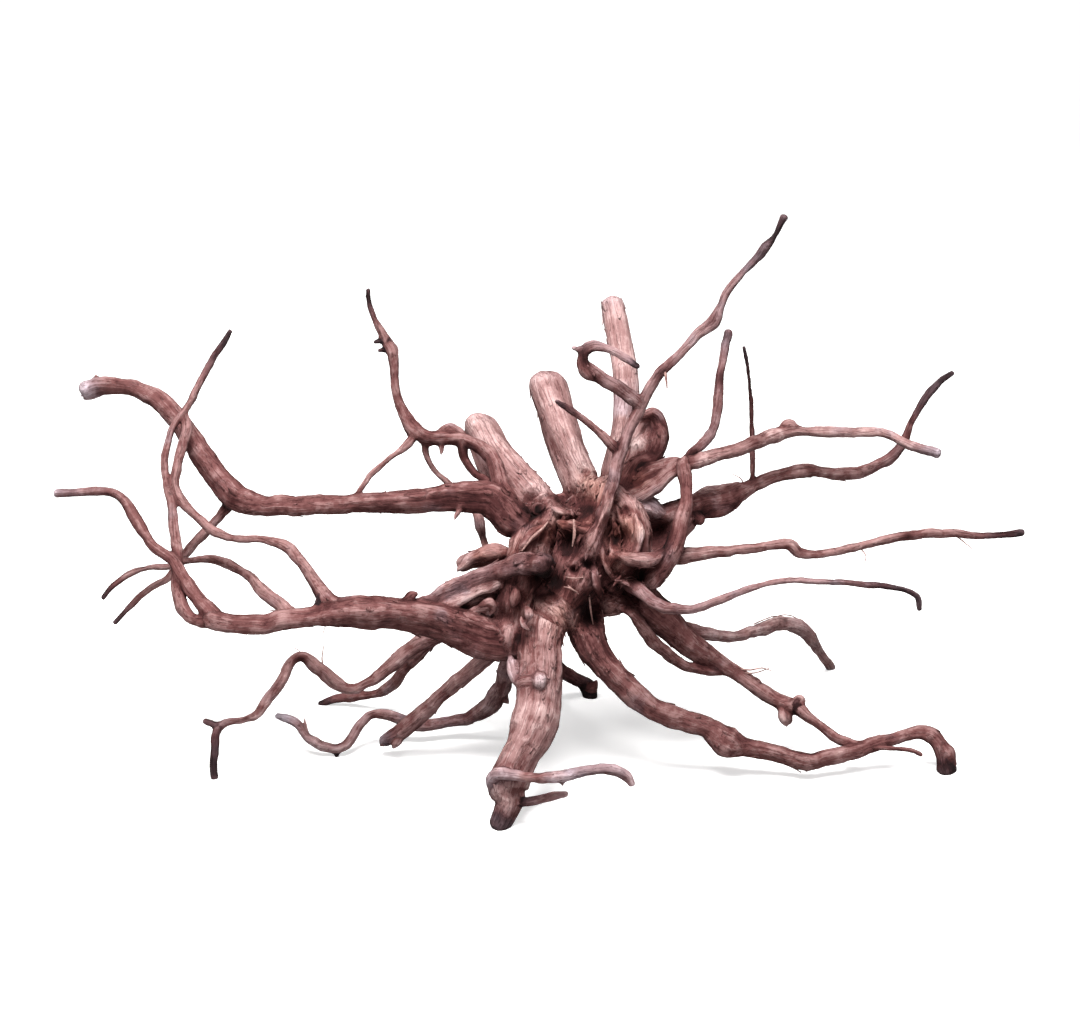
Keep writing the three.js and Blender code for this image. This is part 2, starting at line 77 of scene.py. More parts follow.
# Every root is a row of points (across, up, nearer, radius) in that view, from end to end.
CROWN = {
    "core": [(10, -47, 12, 11), (16, -32, 12, 15), (22, -17, 8, 17), (27, -2, 2, 15), (30, 10, -4, 12)],
    "back": [(12, -36, -8, 10), (18, -20, -13, 13), (26, -4, -14, 12), (32, 8, -12, 9)],
    "left_shoulder": [(-17, -62, 20, 8), (-15, -47, 20, 8.5), (-11, -32, 20, 9), (-6, -18, 18, 9),
        (-2, -7, 12, 9), (3, 3, 4, 8)],
    "middle": [(-2, -4, 4, 9), (4, -18, 5, 10), (6, -32, 5, 10), (4, -46, 7, 9)],
    "right_back": [(36, -32, -4, 10), (50, -22, -8, 10), (62, -11, -11, 8), (72, -1, -13, 6.5)],
    "right_lobe": [(36, -32, 12, 8), (44, -22, 13, 9), (47, -10, 13, 9), (44, 2, 10, 7),
        (38, 10, 6, 6)],
    "rear_saddle": [(-8, 4, -5, 8), (6, 1.5, -8, 8), (20, 4, -10, 9)],
    "under_saddle": [(22, -42, 4, 9), (34, -42, 2, 8), (43, -41, 0, 7)],
    "grey_lump": [(44, 7, -2, 5), (53, 5, -5, 5.6), (59, 0, -8, 5)],
}
STEMS = {
    "low_stem": [(4, -4.5, 0, 10.5), (-5, 6.5, -7, 11.5), (-15, 19, -19, 11.3),
        (-22.5, 29.5, -29, 10.5), (-28, 40, -39, 9.9), (-31.5, 46.5, -45, 9.2)],
    "middle_stem": [(25, 0.5, 0, 10), (21.5, 14.5, -9, 9.5), (17, 25.5, -17, 9.3),
        (12.5, 37, -26, 9.5), (8, 50.5, -36, 9.8), (3, 68, -49, 9.8)],
    "tall_stem": [(35, 5.5, -8, 7.5), (38, 25.5, -18, 7), (41, 40.5, -25, 6.5), (43, 58, -33, 6.5),
        (42.5, 73, -40, 6.2), (40, 88, -47, 5.9), (36, 108, -55, 5.5)],
}
UPPER_RIGHT = {
    "tall_shoot": [(23, -22, 22, 5.5), (28.5, -8.5, 24, 3.8), (33.5, 5.5, 22, 3.4),
        (36.5, 17, 19, 3.1), (39.5, 30.5, 17, 3.4), (45, 43, 15, 3), (50.5, 55.5, 14, 2.9),
        (58, 69.5, 14, 2.6), (68.5, 80, 15, 2.3), (80, 92, 17, 2.3), (87, 97.5, 18, 2.9),
        (90, 104.5, 19, 2), (96, 115.5, 22, 2), (107.5, 128, 26, 1.9), (113, 134.5, 28, 2.8),
        (117, 139.5, 29, 1.6), (122, 149.5, 32, 2)],
    "fork_twig": [(39.5, 32, 17, 2.8), (32.5, 39, 19, 2.3), (25, 45.5, 21, 1.8), (17.5, 51.5, 23, 1.5),
        (8, 57.5, 26, 1.2)],
    "hook": [(50.5, 54.5, 14, 2.8), (44, 60, 17, 3.2), (37.5, 64.5, 19, 3.2), (31, 68.5, 21, 3.2),
        (25, 72.5, 23, 3.4), (21.5, 77, 24, 2.6), (23, 82.5, 24, 2.2), (28.5, 84.5, 24, 2.2),
        (35, 83, 25, 2), (42, 79.5, 26, 1.8), (49, 75, 28, 1.5)],
    "hook_spur": [(25, 83.3, 24, 2), (16, 84, 24, 1)],
    "curl": [(40, 10, -5, 5), (46, 21, -7, 4.5), (49, 26, -9, 4.2), (56, 29, -12, 4.3),
        (60, 36, -15, 4), (60, 45.5, -16, 3.8), (56, 51, -15, 3.3), (50.5, 49.5, -12, 2.2)],
    "curl_heart": [(46, 23, -12, 5), (51, 33, -16, 6.3), (53, 43, -17, 5)],
    "raised_stick": [(73, 27, 0, 2.8), (76.5, 32, -6, 2.5), (82.5, 37, -13, 2.6), (86.5, 43, -18, 2.5),
        (88.5, 53, -24, 2.5), (89.5, 62, -28, 2.2), (91, 75.5, -34, 2), (94, 92, -42, 2)],
    "dark_twig": [(106, 15, -30, 1.8), (106.5, 23, -29, 1.3), (106, 38, -28, 1.3),
        (105.5, 58, -27, 1.2), (104, 73, -26, 1), (102, 84.5, -25, 0.9)],
    "upright": [(55, -31, 12, 6), (62, -23.5, 15, 5), (66.5, -17, 16, 4.5), (70, -7, 15, 4.1),
        (72.5, 5.5, 11, 3.8), (73, 17, 6, 3.5), (72, 26, 2, 3.5)],
    "pale_strand": [(72, 25.5, 1, 2.8), (66, 22, 0, 3.3), (57.5, 15.5, -1, 4), (49, 10.5, -1, 3.8),
        (41, 5.5, 0, 3.5)],
    "upper_strand": [(46, 16, -7, 5), (58, 22.5, -6, 4.5), (69, 26.5, -2, 3.4)],
    "upper_root": [(72, 25.5, 2, 3.4), (82.5, 29, -2, 3), (97.5, 33, -10, 3), (112.5, 39, -17, 3),
        (124, 42.5, -22, 3.6), (132.5, 42, -24, 2.5), (155, 42, -26, 2.4), (172.5, 41, -22, 2.5),
        (186, 35, -15, 3), (198.5, 31.5, -8, 2.8)],
    "upper_root_knob": [(124, 42, -22, 2.4), (125, 45.5, -22, 1.6)],
    "long_root": [(34, -6, -3, 8), (50, -3, -8, 6.5), (64, -0.5, -11, 6.2), (75, 4, -15, 6.3),
        (87.5, 7, -21, 5.8), (99, 11.5, -27, 5), (107.5, 15.5, -31, 3.7), (120, 20, -36, 3.3),
        (131.5, 22.5, -40, 3.7), (142.5, 21.5, -44, 3.2), (155, 21, -48, 3), (166, 24, -50, 2.8),
        (175, 29.5, -50, 2.7), (181.5, 36.5, -48, 2.3), (186, 47.5, -46, 1.8), (196.5, 64, -44, 2),
        (206.5, 71.5, -42, 1.5)],
    "long_root_knot": [(75, 1, -12, 3.5), (80, -2.5, -8, 2.4)],
}
RIGHT = {
    "right_root": [(50, -25, 10, 5), (66, -21, 8, 3.6), (82.5, -18.5, 4, 3.2), (100, -16.5, 0, 2.7),
        (117.5, -14.5, -4, 2.4), (125, -14.5, -5, 2.8), (130, -18.5, -6, 2.5), (150, -17.5, -8, 2.2),
        (170, -12.5, -12, 2.2), (185, -9.5, -16, 2.3), (202.5, -8.5, -20, 2), (222.5, -10, -24, 1.8),
        (231.5, -9.5, -26, 1.6), (241, -8, -28, 1.8)],
    "slim_root": [(42.5, -32, 16, 4), (50, -38, 22, 3), (61.5, -45.5, 30, 2.6), (76, -46.5, 38, 2.7),
        (90, -42, 44, 2.4), (105, -36, 50, 1.9), (122.5, -32.5, 56, 1.8), (145, -33, 62, 1.6),
        (165, -34.5, 66, 1.5), (182.5, -37, 68, 1.4), (188.5, -40.5, 69, 1.5), (190, -46.5, 69, 1.3)],
    "hooked_root": [(67.5, -56, -14, 4.5), (80, -58, -24, 3.3), (95, -60.5, -42, 2.5),
        (109, -57, -62, 2.7), (121.5, -54.5, -84, 3.4), (130, -56, -97, 3.8), (136, -62, -108, 2.8),
        (139.5, -67.5, -117, 2.3), (142.5, -72, -124, 2.2), (145.5, -76.5, -132, 2.2)],
    "knotted_root": [(37.5, -34.5, 2, 9), (50, -42, -2, 8.7), (62.5, -52, -9, 8.2),
        (74, -63.5, -16, 6.7), (86, -71, -22, 4.8), (97.5, -78, -26, 4.1), (111, -88, -27, 3.9),
        (121.5, -93.5, -26, 4.1), (128.5, -95.5, -23, 3.5), (137.5, -103, -17, 2.6),
        (150, -111.5, -9, 2.5), (161, -115, -6, 2.2)],
    "knotted_root_spur": [(123.5, -95, -25, 2.8), (124.5, -103, -25, 1.9)],
    "knotted_root_knot": [(128, -96, -22, 3), (129, -93, -21, 2)],
    "under_strand": [(41, -43.5, 8, 3.5), (50, -54, 6, 3), (57.5, -63, 0, 2.9), (66, -70, -8, 2.7),
        (75, -75.5, -15, 2.4), (83.5, -77.5, -20, 2.2), (91, -78, -24, 2.2)],
    "low_root": [(18, -41, 8, 10), (21.5, -53, 9, 8.8), (29, -69.5, 8, 7.2), (42, -84, 6, 6.1),
        (57.5, -96.5, 3, 6.3), (72.5, -102.5, 1, 5.6), (84, -106, 0, 6), (93, -113, -1, 8.6),
        (102, -116, -2, 5), (117.5, -118.5, -1, 4.6), (132.5, -122.5, 0, 4.8), (145, -120.5, -2, 3.9),
        (160, -116.5, -6, 3.7), (175, -112, -9, 3), (191, -108, -10, 3.5), (198, -111.5, -10, 3.8),
        (201.5, -119, -10, 4.6), (203, -127, -10, 5.2)],
    "low_root_strand": [(165, -115.5, -6, 1.8), (176, -116.2, -4, 1.3), (186, -117.2, -3, 1.3),
        (191, -119.5, -3, 1)],
    "rear_stub": [(17.5, -37, -12, 7), (11.5, -49.5, -40, 5.5), (6.5, -63, -66, 4.2),
        (8, -75.5, -84, 3.2), (16.5, -81, -92, 3.1), (23.5, -84.5, -96, 3.7), (25.5, -90, -96, 3.8)],
}
FRONT = {
    "front_leg": [(8, -37, 8, 12.5), (4, -48, 13, 12.5), (0.5, -62, 21, 11), (0, -77, 28, 10.6),
        (-1, -92, 34, 10.7), (-4.5, -106, 39, 10.5), (-9.5, -118, 43, 8.8), (-14.5, -127, 45, 9.3),
        (-17, -136, 46, 9.4), (-16, -143, 47, 6.8), (-18, -149, 47, 5.5), (-20, -153.5, 47, 5)],
    "front_leg_knob": [(-2, -80, 31, 4.5), (0, -83, 43, 3.4)],
    "toe_branch": [(-22.5, -136, 48, 3.6), (-24, -131.5, 51, 3.2), (-20.5, -128.5, 54.5, 3.1),
        (-13, -129.5, 57.5, 3.2), (-5, -131, 59, 3.2), (6.5, -130.5, 60, 3.1), (18.5, -128.5, 60, 2.8),
        (30, -126.5, 59, 2.8), (39, -127.5, 58, 2.9), (43.5, -130, 57, 2.8), (46, -134, 57, 2)],
    "toe_twig": [(-14, -143, 47, 2.6), (-5, -142.5, 50, 2.2), (6, -140, 52, 2), (13, -139, 53, 1.4)],
}
LEFT = {
    "left_root": [(2.5, -9.5, 10, 8.5), (-14, -2, 12, 8), (-25, 8, 12, 7.7), (-39, 9.5, 11, 7.2),
        (-55, 8.5, 10, 6.5), (-72.5, 7, 9, 5.9), (-95, 6, 8, 5.2), (-120, 5, 5, 5.4),
        (-139, 5.5, 1, 5.6), (-148, 8, -2, 6.4), (-156, 13.5, -5, 6.5), (-165, 24.5, -10, 5.9),
        (-177.5, 43, -17, 5.1), (-188.5, 55.5, -22, 4.5), (-199, 62.5, -26, 4), (-211, 65, -29, 3.9),
        (-220, 65, -31, 4.6), (-225.5, 62.5, -32, 5)],
    "long_upright": [(-155, 92.5, -22, 1.1), (-159, 85.5, -20, 1.5), (-164, 78, -17, 1.8),
        (-169, 68.5, -13, 1.9), (-173.5, 60, -9, 2), (-178, 51.5, -5, 2.2), (-183, 45.5, -3, 1.8),
        (-186, 35.5, 0, 1.8), (-187.5, 27, 2, 1.9), (-186, 15.5, 5, 2.2), (-184, 5.5, 8, 2.3),
        (-182.5, -9.5, 13, 2.4), (-181, -22, 19, 2.6), (-181, -37, 27, 2.9), (-178, -47.5, 33, 3),
        (-171.5, -52, 36, 3.2), (-163, -52.5, 38, 3.8)],
    "bowed_branch": [(-177.5, 51.5, -5, 1.9), (-176.5, 44.5, -3, 2.4), (-178.5, 35, 0, 2.2),
        (-181.5, 25, 3, 2), (-182.5, 15, 6, 2.1), (-179, 7, 8, 2.4), (-171.5, -0.5, 10, 2.3),
        (-162.5, -7.5, 13, 2.2), (-152.5, -11, 16, 2), (-139, -11.5, 20, 2.1), (-127.5, -15, 24, 2.9),
        (-119, -24, 28, 3.1), (-112.5, -33.5, 31, 4), (-105, -43.5, 35, 5), (-99, -47, 36, 5.5)],
    "far_left_root": [(-241.5, 11.5, -6, 2), (-230, 12, -4, 2.1), (-220, 12.5, -2, 2.2),
        (-214, 12, 0, 1.9), (-209, 9, 3, 2.2), (-201.5, -2.5, 9, 2.8), (-194, -13.5, 15, 3),
        (-184, -22, 21, 3), (-177, -32.5, 27, 3.2), (-170, -43, 33, 4), (-163, -51, 38, 4.7)],
    "slanted_twig": [(-155, 6.5, -6, 3.2), (-159, 1, -9, 2.3), (-166, -7, -13, 2.3),
        (-175, -16, -17, 2.3), (-181, -23.5, -19, 2), (-186, -31, -20, 1.6), (-195, -36.5, -20, 1.5),
        (-202.5, -42.5, -20, 1.5), (-212.5, -53.5, -19, 1.2)],
    "crossing_twig": [(-121, -51, 37, 3.3), (-125, -49, 31, 3.2), (-131, -43.5, 24, 2.8),
        (-139, -36.5, 15, 2.8), (-147.5, -28.5, 7, 2.9), (-156, -24, 1, 2.6), (-165, -21.5, -3, 2.2),
        (-176, -22.5, -7, 1.8), (-185, -25, -9, 1.6), (-196, -26, -11, 1.5), (-205, -28.5, -12, 1.7),
        (-212.5, -34, -13, 1.6), (-218.5, -41, -14, 1.3)],
    "broad_left_root": [(-2.5, -59.5, 14, 11), (-12.5, -60.5, 16, 10.8), (-25, -61, 19, 10.3),
        (-40, -56, 23, 9.5), (-55, -51.5, 27, 8.8), (-70, -49, 30, 8.1), (-87.5, -48, 33, 8.2),
        (-102.5, -48, 35, 7.8), (-112.5, -50, 37, 5.5), (-125, -51.5, 38, 4.8), (-139, -54, 38, 4.8),
        (-151, -54, 38, 4.6), (-163, -51.5, 38, 5)],
    "broad_left_spur": [(-110, -47, 37, 3), (-111.5, -41.5, 38, 1.2)],
    "horn": [(-86, 113, 4, 1.1), (-85.5, 105.5, 2, 1.3), (-82.5, 97.5, 0, 1.7), (-77.5, 89.5, -2, 2.5),
        (-74, 82, -3, 3.1), (-73, 74, -4, 2.4), (-72, 64, -5, 2.4), (-69.5, 54, -6, 3.2),
        (-64, 44, -6, 4.6), (-56, 39.5, -6, 4), (-45, 39, -7, 3.4), (-34, 36.5, -7, 3.1),
        (-25.5, 31, -4, 3.7), (-21, 23, 2, 3.6), (-18, 13, 7, 4), (-12, 1, 12, 5), (-8, -9.5, 14, 5.5)],
    "horn_burl": [(-50, 41, -7, 2.2), (-45, 44, -9, 2.4), (-40, 41, -8, 2.4), (-38, 37, -7, 2.2)],
    "horn_spur_high": [(-76, 88, -2, 1.8), (-82.5, 87, -2, 1)],
    "horn_spur_low": [(-74.5, 83.5, -3, 1.8), (-80.5, 82.5, -3, 0.9)],
    "horn_brace": [(-62, 41, -5, 2.3), (-70, 32.5, -2, 1.6), (-76, 28, 0, 1.6), (-84, 21.5, 3, 1.7),
        (-92.5, 8, 7, 1.5)],
    "horn_root": [(-58, 39, -7, 2.2), (-56, 28, -10, 1.6), (-50, 20, -13, 1.6), (-40, 11.5, -14, 1.8),
        (-32, 3, -12, 2), (-29.5, -7, -6, 2), (-26, -18.5, 4, 2), (-25, -22, 8, 2)],
    "dark_loop": [(-39, 37.5, -6, 2.4), (-37.5, 28, -9, 2.3), (-32, 21, -8, 2.3), (-20, 14, 2, 2.6)],
    "blunt_stub": [(-38.5, -24.5, 10, 3.8), (-32.5, -22.5, 10, 4), (-20, -22, 10, 3.8),
        (-7.5, -22, 10, 4)],
    "grey_root": [(0.5, -23.5, 37, 5.5), (-7.5, -24, 31, 5.2), (-17.5, -26.5, 27, 4.5),
        (-30, -30.5, 25, 4.1), (-41, -34.5, 24, 4.3), (-48.5, -38, 24, 3.6), (-55, -41, 24, 2),
        (-62.5, -42, 25, 1.6)],
    "pale_root": [(-22, -33.5, 26, 3), (-35, -39.5, 26, 3), (-45, -44, 26, 3), (-54, -48, 26, 3)],
}
LOWER_LEFT = {
    "left_foot_root": [(-162.5, -131.5, -3, 2.1), (-163, -124.5, -3, 2), (-162.5, -116, -4, 1.9),
        (-162, -108.5, -5, 2.2), (-158, -104, -7, 2.2), (-147.5, -101.5, -11, 1.9),
        (-141, -98.5, -14, 2.4), (-135, -90, -19, 2.6), (-128, -81, -24, 2.8), (-124, -72.5, -29, 2.5),
        (-119, -70, -31, 2.7), (-111, -76, -33, 3.2), (-103.5, -83, -35, 3.2), (-95, -86.5, -36, 2.5),
        (-84, -82.5, -36, 2.9), (-71, -72, -33, 3.5), (-60, -64, -29, 3.8), (-45, -57, -20, 4),
        (-25, -49.5, -10, 4.5), (-4, -41, 2, 6)],
    "left_foot_flap": [(-160, -105.5, -6, 2), (-167.5, -102.5, -6, 1.4)],
    "rear_left_root": [(-110, -94, -87, 1.6), (-103.5, -91.5, -85, 1.9), (-94, -90, -82, 2.5),
        (-84, -89, -77, 2.2), (-76, -86, -72, 3), (-68.5, -78, -62, 3), (-59, -67.5, -47, 3.2),
        (-50, -60, -34, 3.5), (-35, -51, -18, 4), (-17.5, -43, -7, 4.5), (-2, -36, 0, 6)],
    "wavy_root": [(-131.5, -100, -30, 1.4), (-126, -101.5, -30, 1.9), (-121, -104.5, -29, 2.2),
        (-116, -111, -27, 2.2), (-109, -115, -26, 2.3), (-101, -116.5, -26, 2.5),
        (-95.5, -112.5, -28, 2.3), (-90.5, -105, -31, 2.3), (-85, -99.5, -33, 2.2),
        (-77.5, -99, -35, 2.7), (-68.5, -102, -38, 2.8), (-57.5, -105, -41, 3),
        (-44, -102.5, -43, 2.9), (-33.5, -100.5, -42, 3.6), (-26.5, -96, -39, 4.6),
        (-20, -87, -32, 4.7), (-16, -76, -22, 4), (-13, -64.5, -12, 4.2), (-5, -50, 2, 5)],
    "wavy_root_spur": [(-101.5, -117, -26, 1.8), (-101.5, -120.5, -26, 1.2)],
    "blunt_root": [(-77.5, -112.5, -25, 3.2), (-73.5, -110, -25, 4), (-66, -105, -23, 4.6),
        (-57.5, -97.5, -20, 4.4), (-48, -88, -16, 3.9), (-37.5, -79, -12, 3.9),
        (-27.5, -71.5, -8, 4.1), (-16, -63.5, -2, 4.5), (-4, -54, 8, 6)],
}
# Finer strands that lie over the crown and along the roots.
STRANDS = {
    "rim": [(35, -17, 24, 3), (42, -21, 25, 3.2), (50, -22.5, 24, 3.2), (58, -21, 20, 3),
        (64, -15, 17, 2.5)],
    "pale_flake": [(5, 4.5, 16, 1.5), (12, 2.5, 18, 2), (20, 1, 18, 1.5)],
    "thin_ridge": [(-9.5, -16, 27, 2.5), (-4, -10, 26, 2.8), (1, -6, 24, 2.6), (4, -3.5, 20, 2)],
    "small_loop": [(-33, -46, 24, 1.3), (-29, -44, 27, 1.9), (-25, -43, 27, 2.2), (-23, -47, 26, 1.9),
        (-26, -49.5, 26, 1.3)],
    "splay_left": [(28, -12, 25, 2.2), (21, -20, 26, 1.9), (15, -26, 26, 1.5), (11, -30, 25, 1.1)],
    "splay_right": [(30, -12, 24, 2.4), (32, -22, 25, 2.2), (37, -31, 25, 1.8), (45, -35, 24, 1.2)],
    "splay_middle": [(27, -15, 25, 2), (27, -26, 27, 1.8), (29, -36, 26, 1.4), (31, -42, 22, 1.2)],
    "burl_band": [(36, -1, 20, 2.6), (38, -9, 23, 2.8), (37, -18, 23, 2.6), (34, -26, 22, 2.2)],
    "burl_cream_band": [(48, 1, 20, 2), (49.5, -7, 22, 2.2), (49, -15, 23, 2), (46, -21, 23, 1.8)],
    "brown_lump": [(9, -3, 17, 2.8), (15, -6, 20, 3.6), (22, -7, 21, 3.4), (27, -5, 19, 2.6)],
    "inner_grey_lump": [(-4, 4, 14, 2.6), (-1, 3.5, 16, 3), (3, 4.5, 15, 2.2)],
    "knee_lump": [(1, -42, 15, 9), (6, -48, 17, 11.5), (11, -54, 15, 10)],
    "knee_side": [(10, -42, 12, 8), (15, -48, 13, 9), (17, -55, 10, 7)],
    "knee_nodule": [(-7, -45, 32, 1.6), (-5.5, -49.5, 34.5, 1.9), (-6.5, -53, 34, 1.5)],
    "knee_nodule_low": [(-9.5, -50, 31, 1.3), (-8, -54.5, 33.5, 1.6), (-5, -57.5, 33, 1.2)],
    "knee_flap": [(-13, -35, 28, 2.2), (-12.5, -41, 31, 2.4), (-14.5, -46, 30, 1.8)],
    "thorn": [(-38, 6, 14, 2.4), (-42, 0, 16, 1), (-43, -3, 16.5, 0.6)],
    "knob_left": [(-15, -70, 24, 2.4), (-13, -78, 31, 3.2), (-9, -87, 35, 2.8)],
    "knob_bridge": [(-12, -84, 35, 2.6), (-6, -83, 39, 2.8), (0, -83, 41, 3)],
    "blunt_tooth": [(-76, -112, -24, 2.6), (-80.5, -115.5, -24, 0.9)],
    "blunt_tooth_low": [(-69, -110, -22, 3), (-74, -116.5, -21, 1.2)],
    "grey_end_tooth": [(-4, -23, 37, 3.4), (3, -21.5, 36, 2.6), (8, -24, 33, 1.4)],
    "grey_end_tooth_low": [(-3, -27, 36, 3.2), (3.5, -28.5, 33, 2.2), (7, -27, 31, 1.2)],
    "third_root": [(-52, -48, 21, 3), (-44, -46.5, 19, 4), (-35, -44.5, 18, 4.2), (-26, -42, 17, 4.4),
        (-15, -38, 17, 4.4)],
    "crumbs": [(-35, -46.5, 25, 1.6), (-29, -46, 26, 2.2), (-23, -45, 25, 1.8)],
    "lens_root": [(-41.5, -27.5, 12, 2.8), (-34, -22, 13, 3.8), (-25, -19, 13, 4), (-14, -18, 14, 3.2)],
    "curl_swell": [(53, 29, -11, 4), (58, 34, -13, 4.4), (58.5, 43, -14, 4.4), (55, 49, -14, 3.4)],
    "curl_fill": [(46, 38, -15, 3), (52, 46, -15, 4.4), (55, 49, -15, 3)],
    "hook_knuckle": [(21, 83, 24, 2.2), (21, 77.5, 24, 3), (23.5, 71.5, 23, 3.8), (29, 68, 22, 3)],
    "pale_ridge": [(19, -25, 26, 1.5), (25, -13, 27.5, 1.7), (31, -1, 27, 1.7), (36, 12, 23, 1.3)],
    "long_root_lump": [(74, 8.5, -12, 2.6), (82, 11, -17, 3.4), (91, 13, -22, 3), (99, 17, -27, 2.2)],
    "long_root_underlump": [(79, -1, -14, 2.4), (88, 2, -18, 3), (95, 4, -23, 2.6), (101, 8, -26, 1.8)],
    "upper_root_thorn": [(120, 43, -22, 3), (125, 46, -22, 2.6), (129, 44.5, -22, 2.2)],
    "spur_body": [(120.5, -94, -25, 2.6), (122, -99.5, -23.5, 3), (123.5, -105, -23, 2.6)],
    "spur_top": [(126, -92, -23, 2.4), (130, -92.5, -22, 2.8), (132, -95, -22, 2)],
    "lace_ridge": [(106, -55, -60, 1), (112, -53.5, -69, 1.2), (120, -51, -82, 1.3),
        (128, -52, -94, 1)],
    "foot_flare": [(199, -112, -9, 3.5), (204, -119, -9, 4), (207.5, -124, -9, 3.2)],
    "stub_flare": [(22, -84, -95, 3.4), (26, -86, -94, 3), (28.5, -82, -94, 1.6)],
    "toe_spur": [(11, -130.5, 60, 1.8), (11.5, -136, 60, 0.9)],
    "horn_thorn": [(-49, 38, -6, 2), (-49.5, 30, -5, 0.8)],
    "wavy_thorn": [(-116, -111, -27, 1.4), (-118, -100, -28, 0.6)],
    "wavy_knob": [(-18, -90, -34, 2.4), (-16, -94, -32, 1.3)],
    "dark_knob": [(-69, -44, 31, 2.6), (-64, -40, 32, 2.4), (-61, -39, 32, 1.6)],
    "left_end_spur": [(-222, 66, -31, 2.4), (-222, 71, -31, 1)],
    "left_end_tooth": [(-224, 61, -32, 2.2), (-229, 58, -33, 0.8)],
    "low_knob": [(-17, -142, 49, 3), (-13, -146, 50, 1.8)],
    "hook_fuzz": [(18, 82, 24, 1.5), (26, 87, 24, 1.3), (34, 85.5, 25, 1.1)],
    "left_root_rib": [(-26, 7, 16, 3), (-50, 10, 14, 2.8), (-75, 8.5, 11.5, 2.6), (-108, 6, 8, 2.2)],
    "broad_root_rib": [(-18, -56, 24, 4), (-45, -50.5, 28, 3.6), (-75, -45, 33, 3.2),
        (-97, -45, 36, 2.8)],
    "broad_root_lower_rib": [(-13, -66, 21, 4), (-38, -61.5, 27, 3.6), (-68, -53, 32, 3)],
    "leg_rib_left": [(-2, -48, 19, 3), (-4, -60, 25.5, 4.2), (-5, -80, 34, 4), (-7, -102, 42, 3.6),
        (-13, -121, 48, 3)],
    "leg_rib_right": [(8, -48, 18, 3), (6.5, -60, 24, 4.2), (6.5, -80, 33, 4), (3, -101, 42, 3.4)],
}
# The skin, in mm: the steps along a root, a tube's sides, the voxels, and how many triangles are left.
STATION_STEP = 1.5
TUBE_SIDES = 28
VOXEL = 0.62
SKIN_TRIANGLES = 196000
# The web between roots: its width, its least and strongest pull, and how often it is drawn tighter.
FILLET_WIDTH = 2.6
FILLET_LEAST = 0.08
FILLET_PULL = 0.6
FILLET_ROUNDS = 14
# How far the finished skin is smoothed, and how far it stays inside the frame's box.
SMOOTHING = 0.3
BOX_MARGIN = 0.15
# How far the look of a tip reaches along its root.
TIP_LENGTH = 11.0
LONG_TIPS = {"far_left_root": 27.0, "long_root": 42.0, "slim_root": 34.0, "tall_shoot": 26.0,
             "right_root": 21.0, "left_foot_root": 26.0, "long_upright": 22.0, "dark_twig": 38.0,
             "hook": 5.0, "toe_branch": 5.0, "front_leg": 7.0, "blunt_root": 6.0, "low_root": 6.0,
             "left_root": 7.0, "hooked_root": 5.0}
# Roots whose outer end grows into another root, so that they have no tip.
JOINED_ENDS = {"hook_spur", "upright", "pale_strand", "upper_strand", "under_strand", "bowed_branch",
               "horn_root", "horn_brace", "dark_loop", "horn_burl", "long_root_knot", "upper_root_knob",
               "broad_left_root", "knotted_root", "low_root_strand", "blunt_stub", "pale_root", "curl",
               "curl_heart", "grey_root", "knotted_root_spur", "front_leg_knob"}
# A stem's end is worn round: it reaches this share of its radius further, and rounds over that share.
STEM_REACH = 0.36
STEM_ROUNDING = 0.95
STEM_TIP = 0.45
STEM_TIP_LENGTH = 7.0
# A root strays this far to and fro, over about this length.
SWAY = 1.4
SWAY_LENGTH = 8.5
# Beyond an end: two rings as (how far, how wide), then how far the last point is, all in radii.
SAWN_END = (0.05, 0.985), (0.09, 0.9), 0.09
ROUND_END = (0.4, 0.86), (0.66, 0.5), 0.76
# The direction that the frames across each root start from.
FIRST_ACROSS = np.array([0.31, 0.42, 0.85])
# A point is held against a root within NEAR_ROOT of its widest swelling, PAIRS_AT_ONCE of points and
# stations at a time. FAR_OFF stands for a root that is not near.
NEAR_ROOT = 8.0
WIDEST_SWELL = 1.3
FAR_OFF = 99.0
PAIRS_AT_ONCE = 6000000
# The crown: its middle, how far it reaches and how fast it fades.
CROWN_MIDDLE = np.array([14.0, -14.0, 106.0])
CROWN_REACH = 62.0
CROWN_FALLOFF = 2.2
# The stems' names, to tell their skin from the roots'.
IS_STEM = dict.fromkeys(STEMS, 1.0)
# The sizes of the relief: ridges as (across, across, along), round forms, and how far ridges wander.
LONG_GRAIN = [3.3, 3.3, 62.0]
FINE_GRAIN = [1.6, 1.6, 26.0]
STRAND_GRAIN = [6.2, 6.2, 90.0]
CRACK_GRAIN = [3.6, 3.6, 15.0]
SWELLING_LENGTH = 15.0
LUMP_SIZE = 11.0
KNOB_SIZE = 7.0
SMALL_KNOB_SIZE = 2.6
WANDER = 3.2
# How far each root's grain is moved on from the last one's, so that no two roots look alike.
GRAIN_SHIFT = np.array([31.7, 17.9, 53.1])
# The gap to the next root over which a root comes to stand alone.
LONE_GAPS = 0.5, 4.0


def placed(points):
    """Laid-out points in space: across and up shrink by nearer / VIEW_DISTANCE, so that they look the
    same from the camera, and nearer runs towards it. Gives places and radii in mm."""
    table = np.array(points, float)
    shrink = 1 - table[:, 2:3] / VIEW_DISTANCE
    spots = table[:, :1] * shrink * RIGHTWARD + table[:, 1:2] * shrink * UPWARD
    return spots + table[:, 2:3] * TOWARD + VIEW_AIM, table[:, 3] * shrink[:, 0]


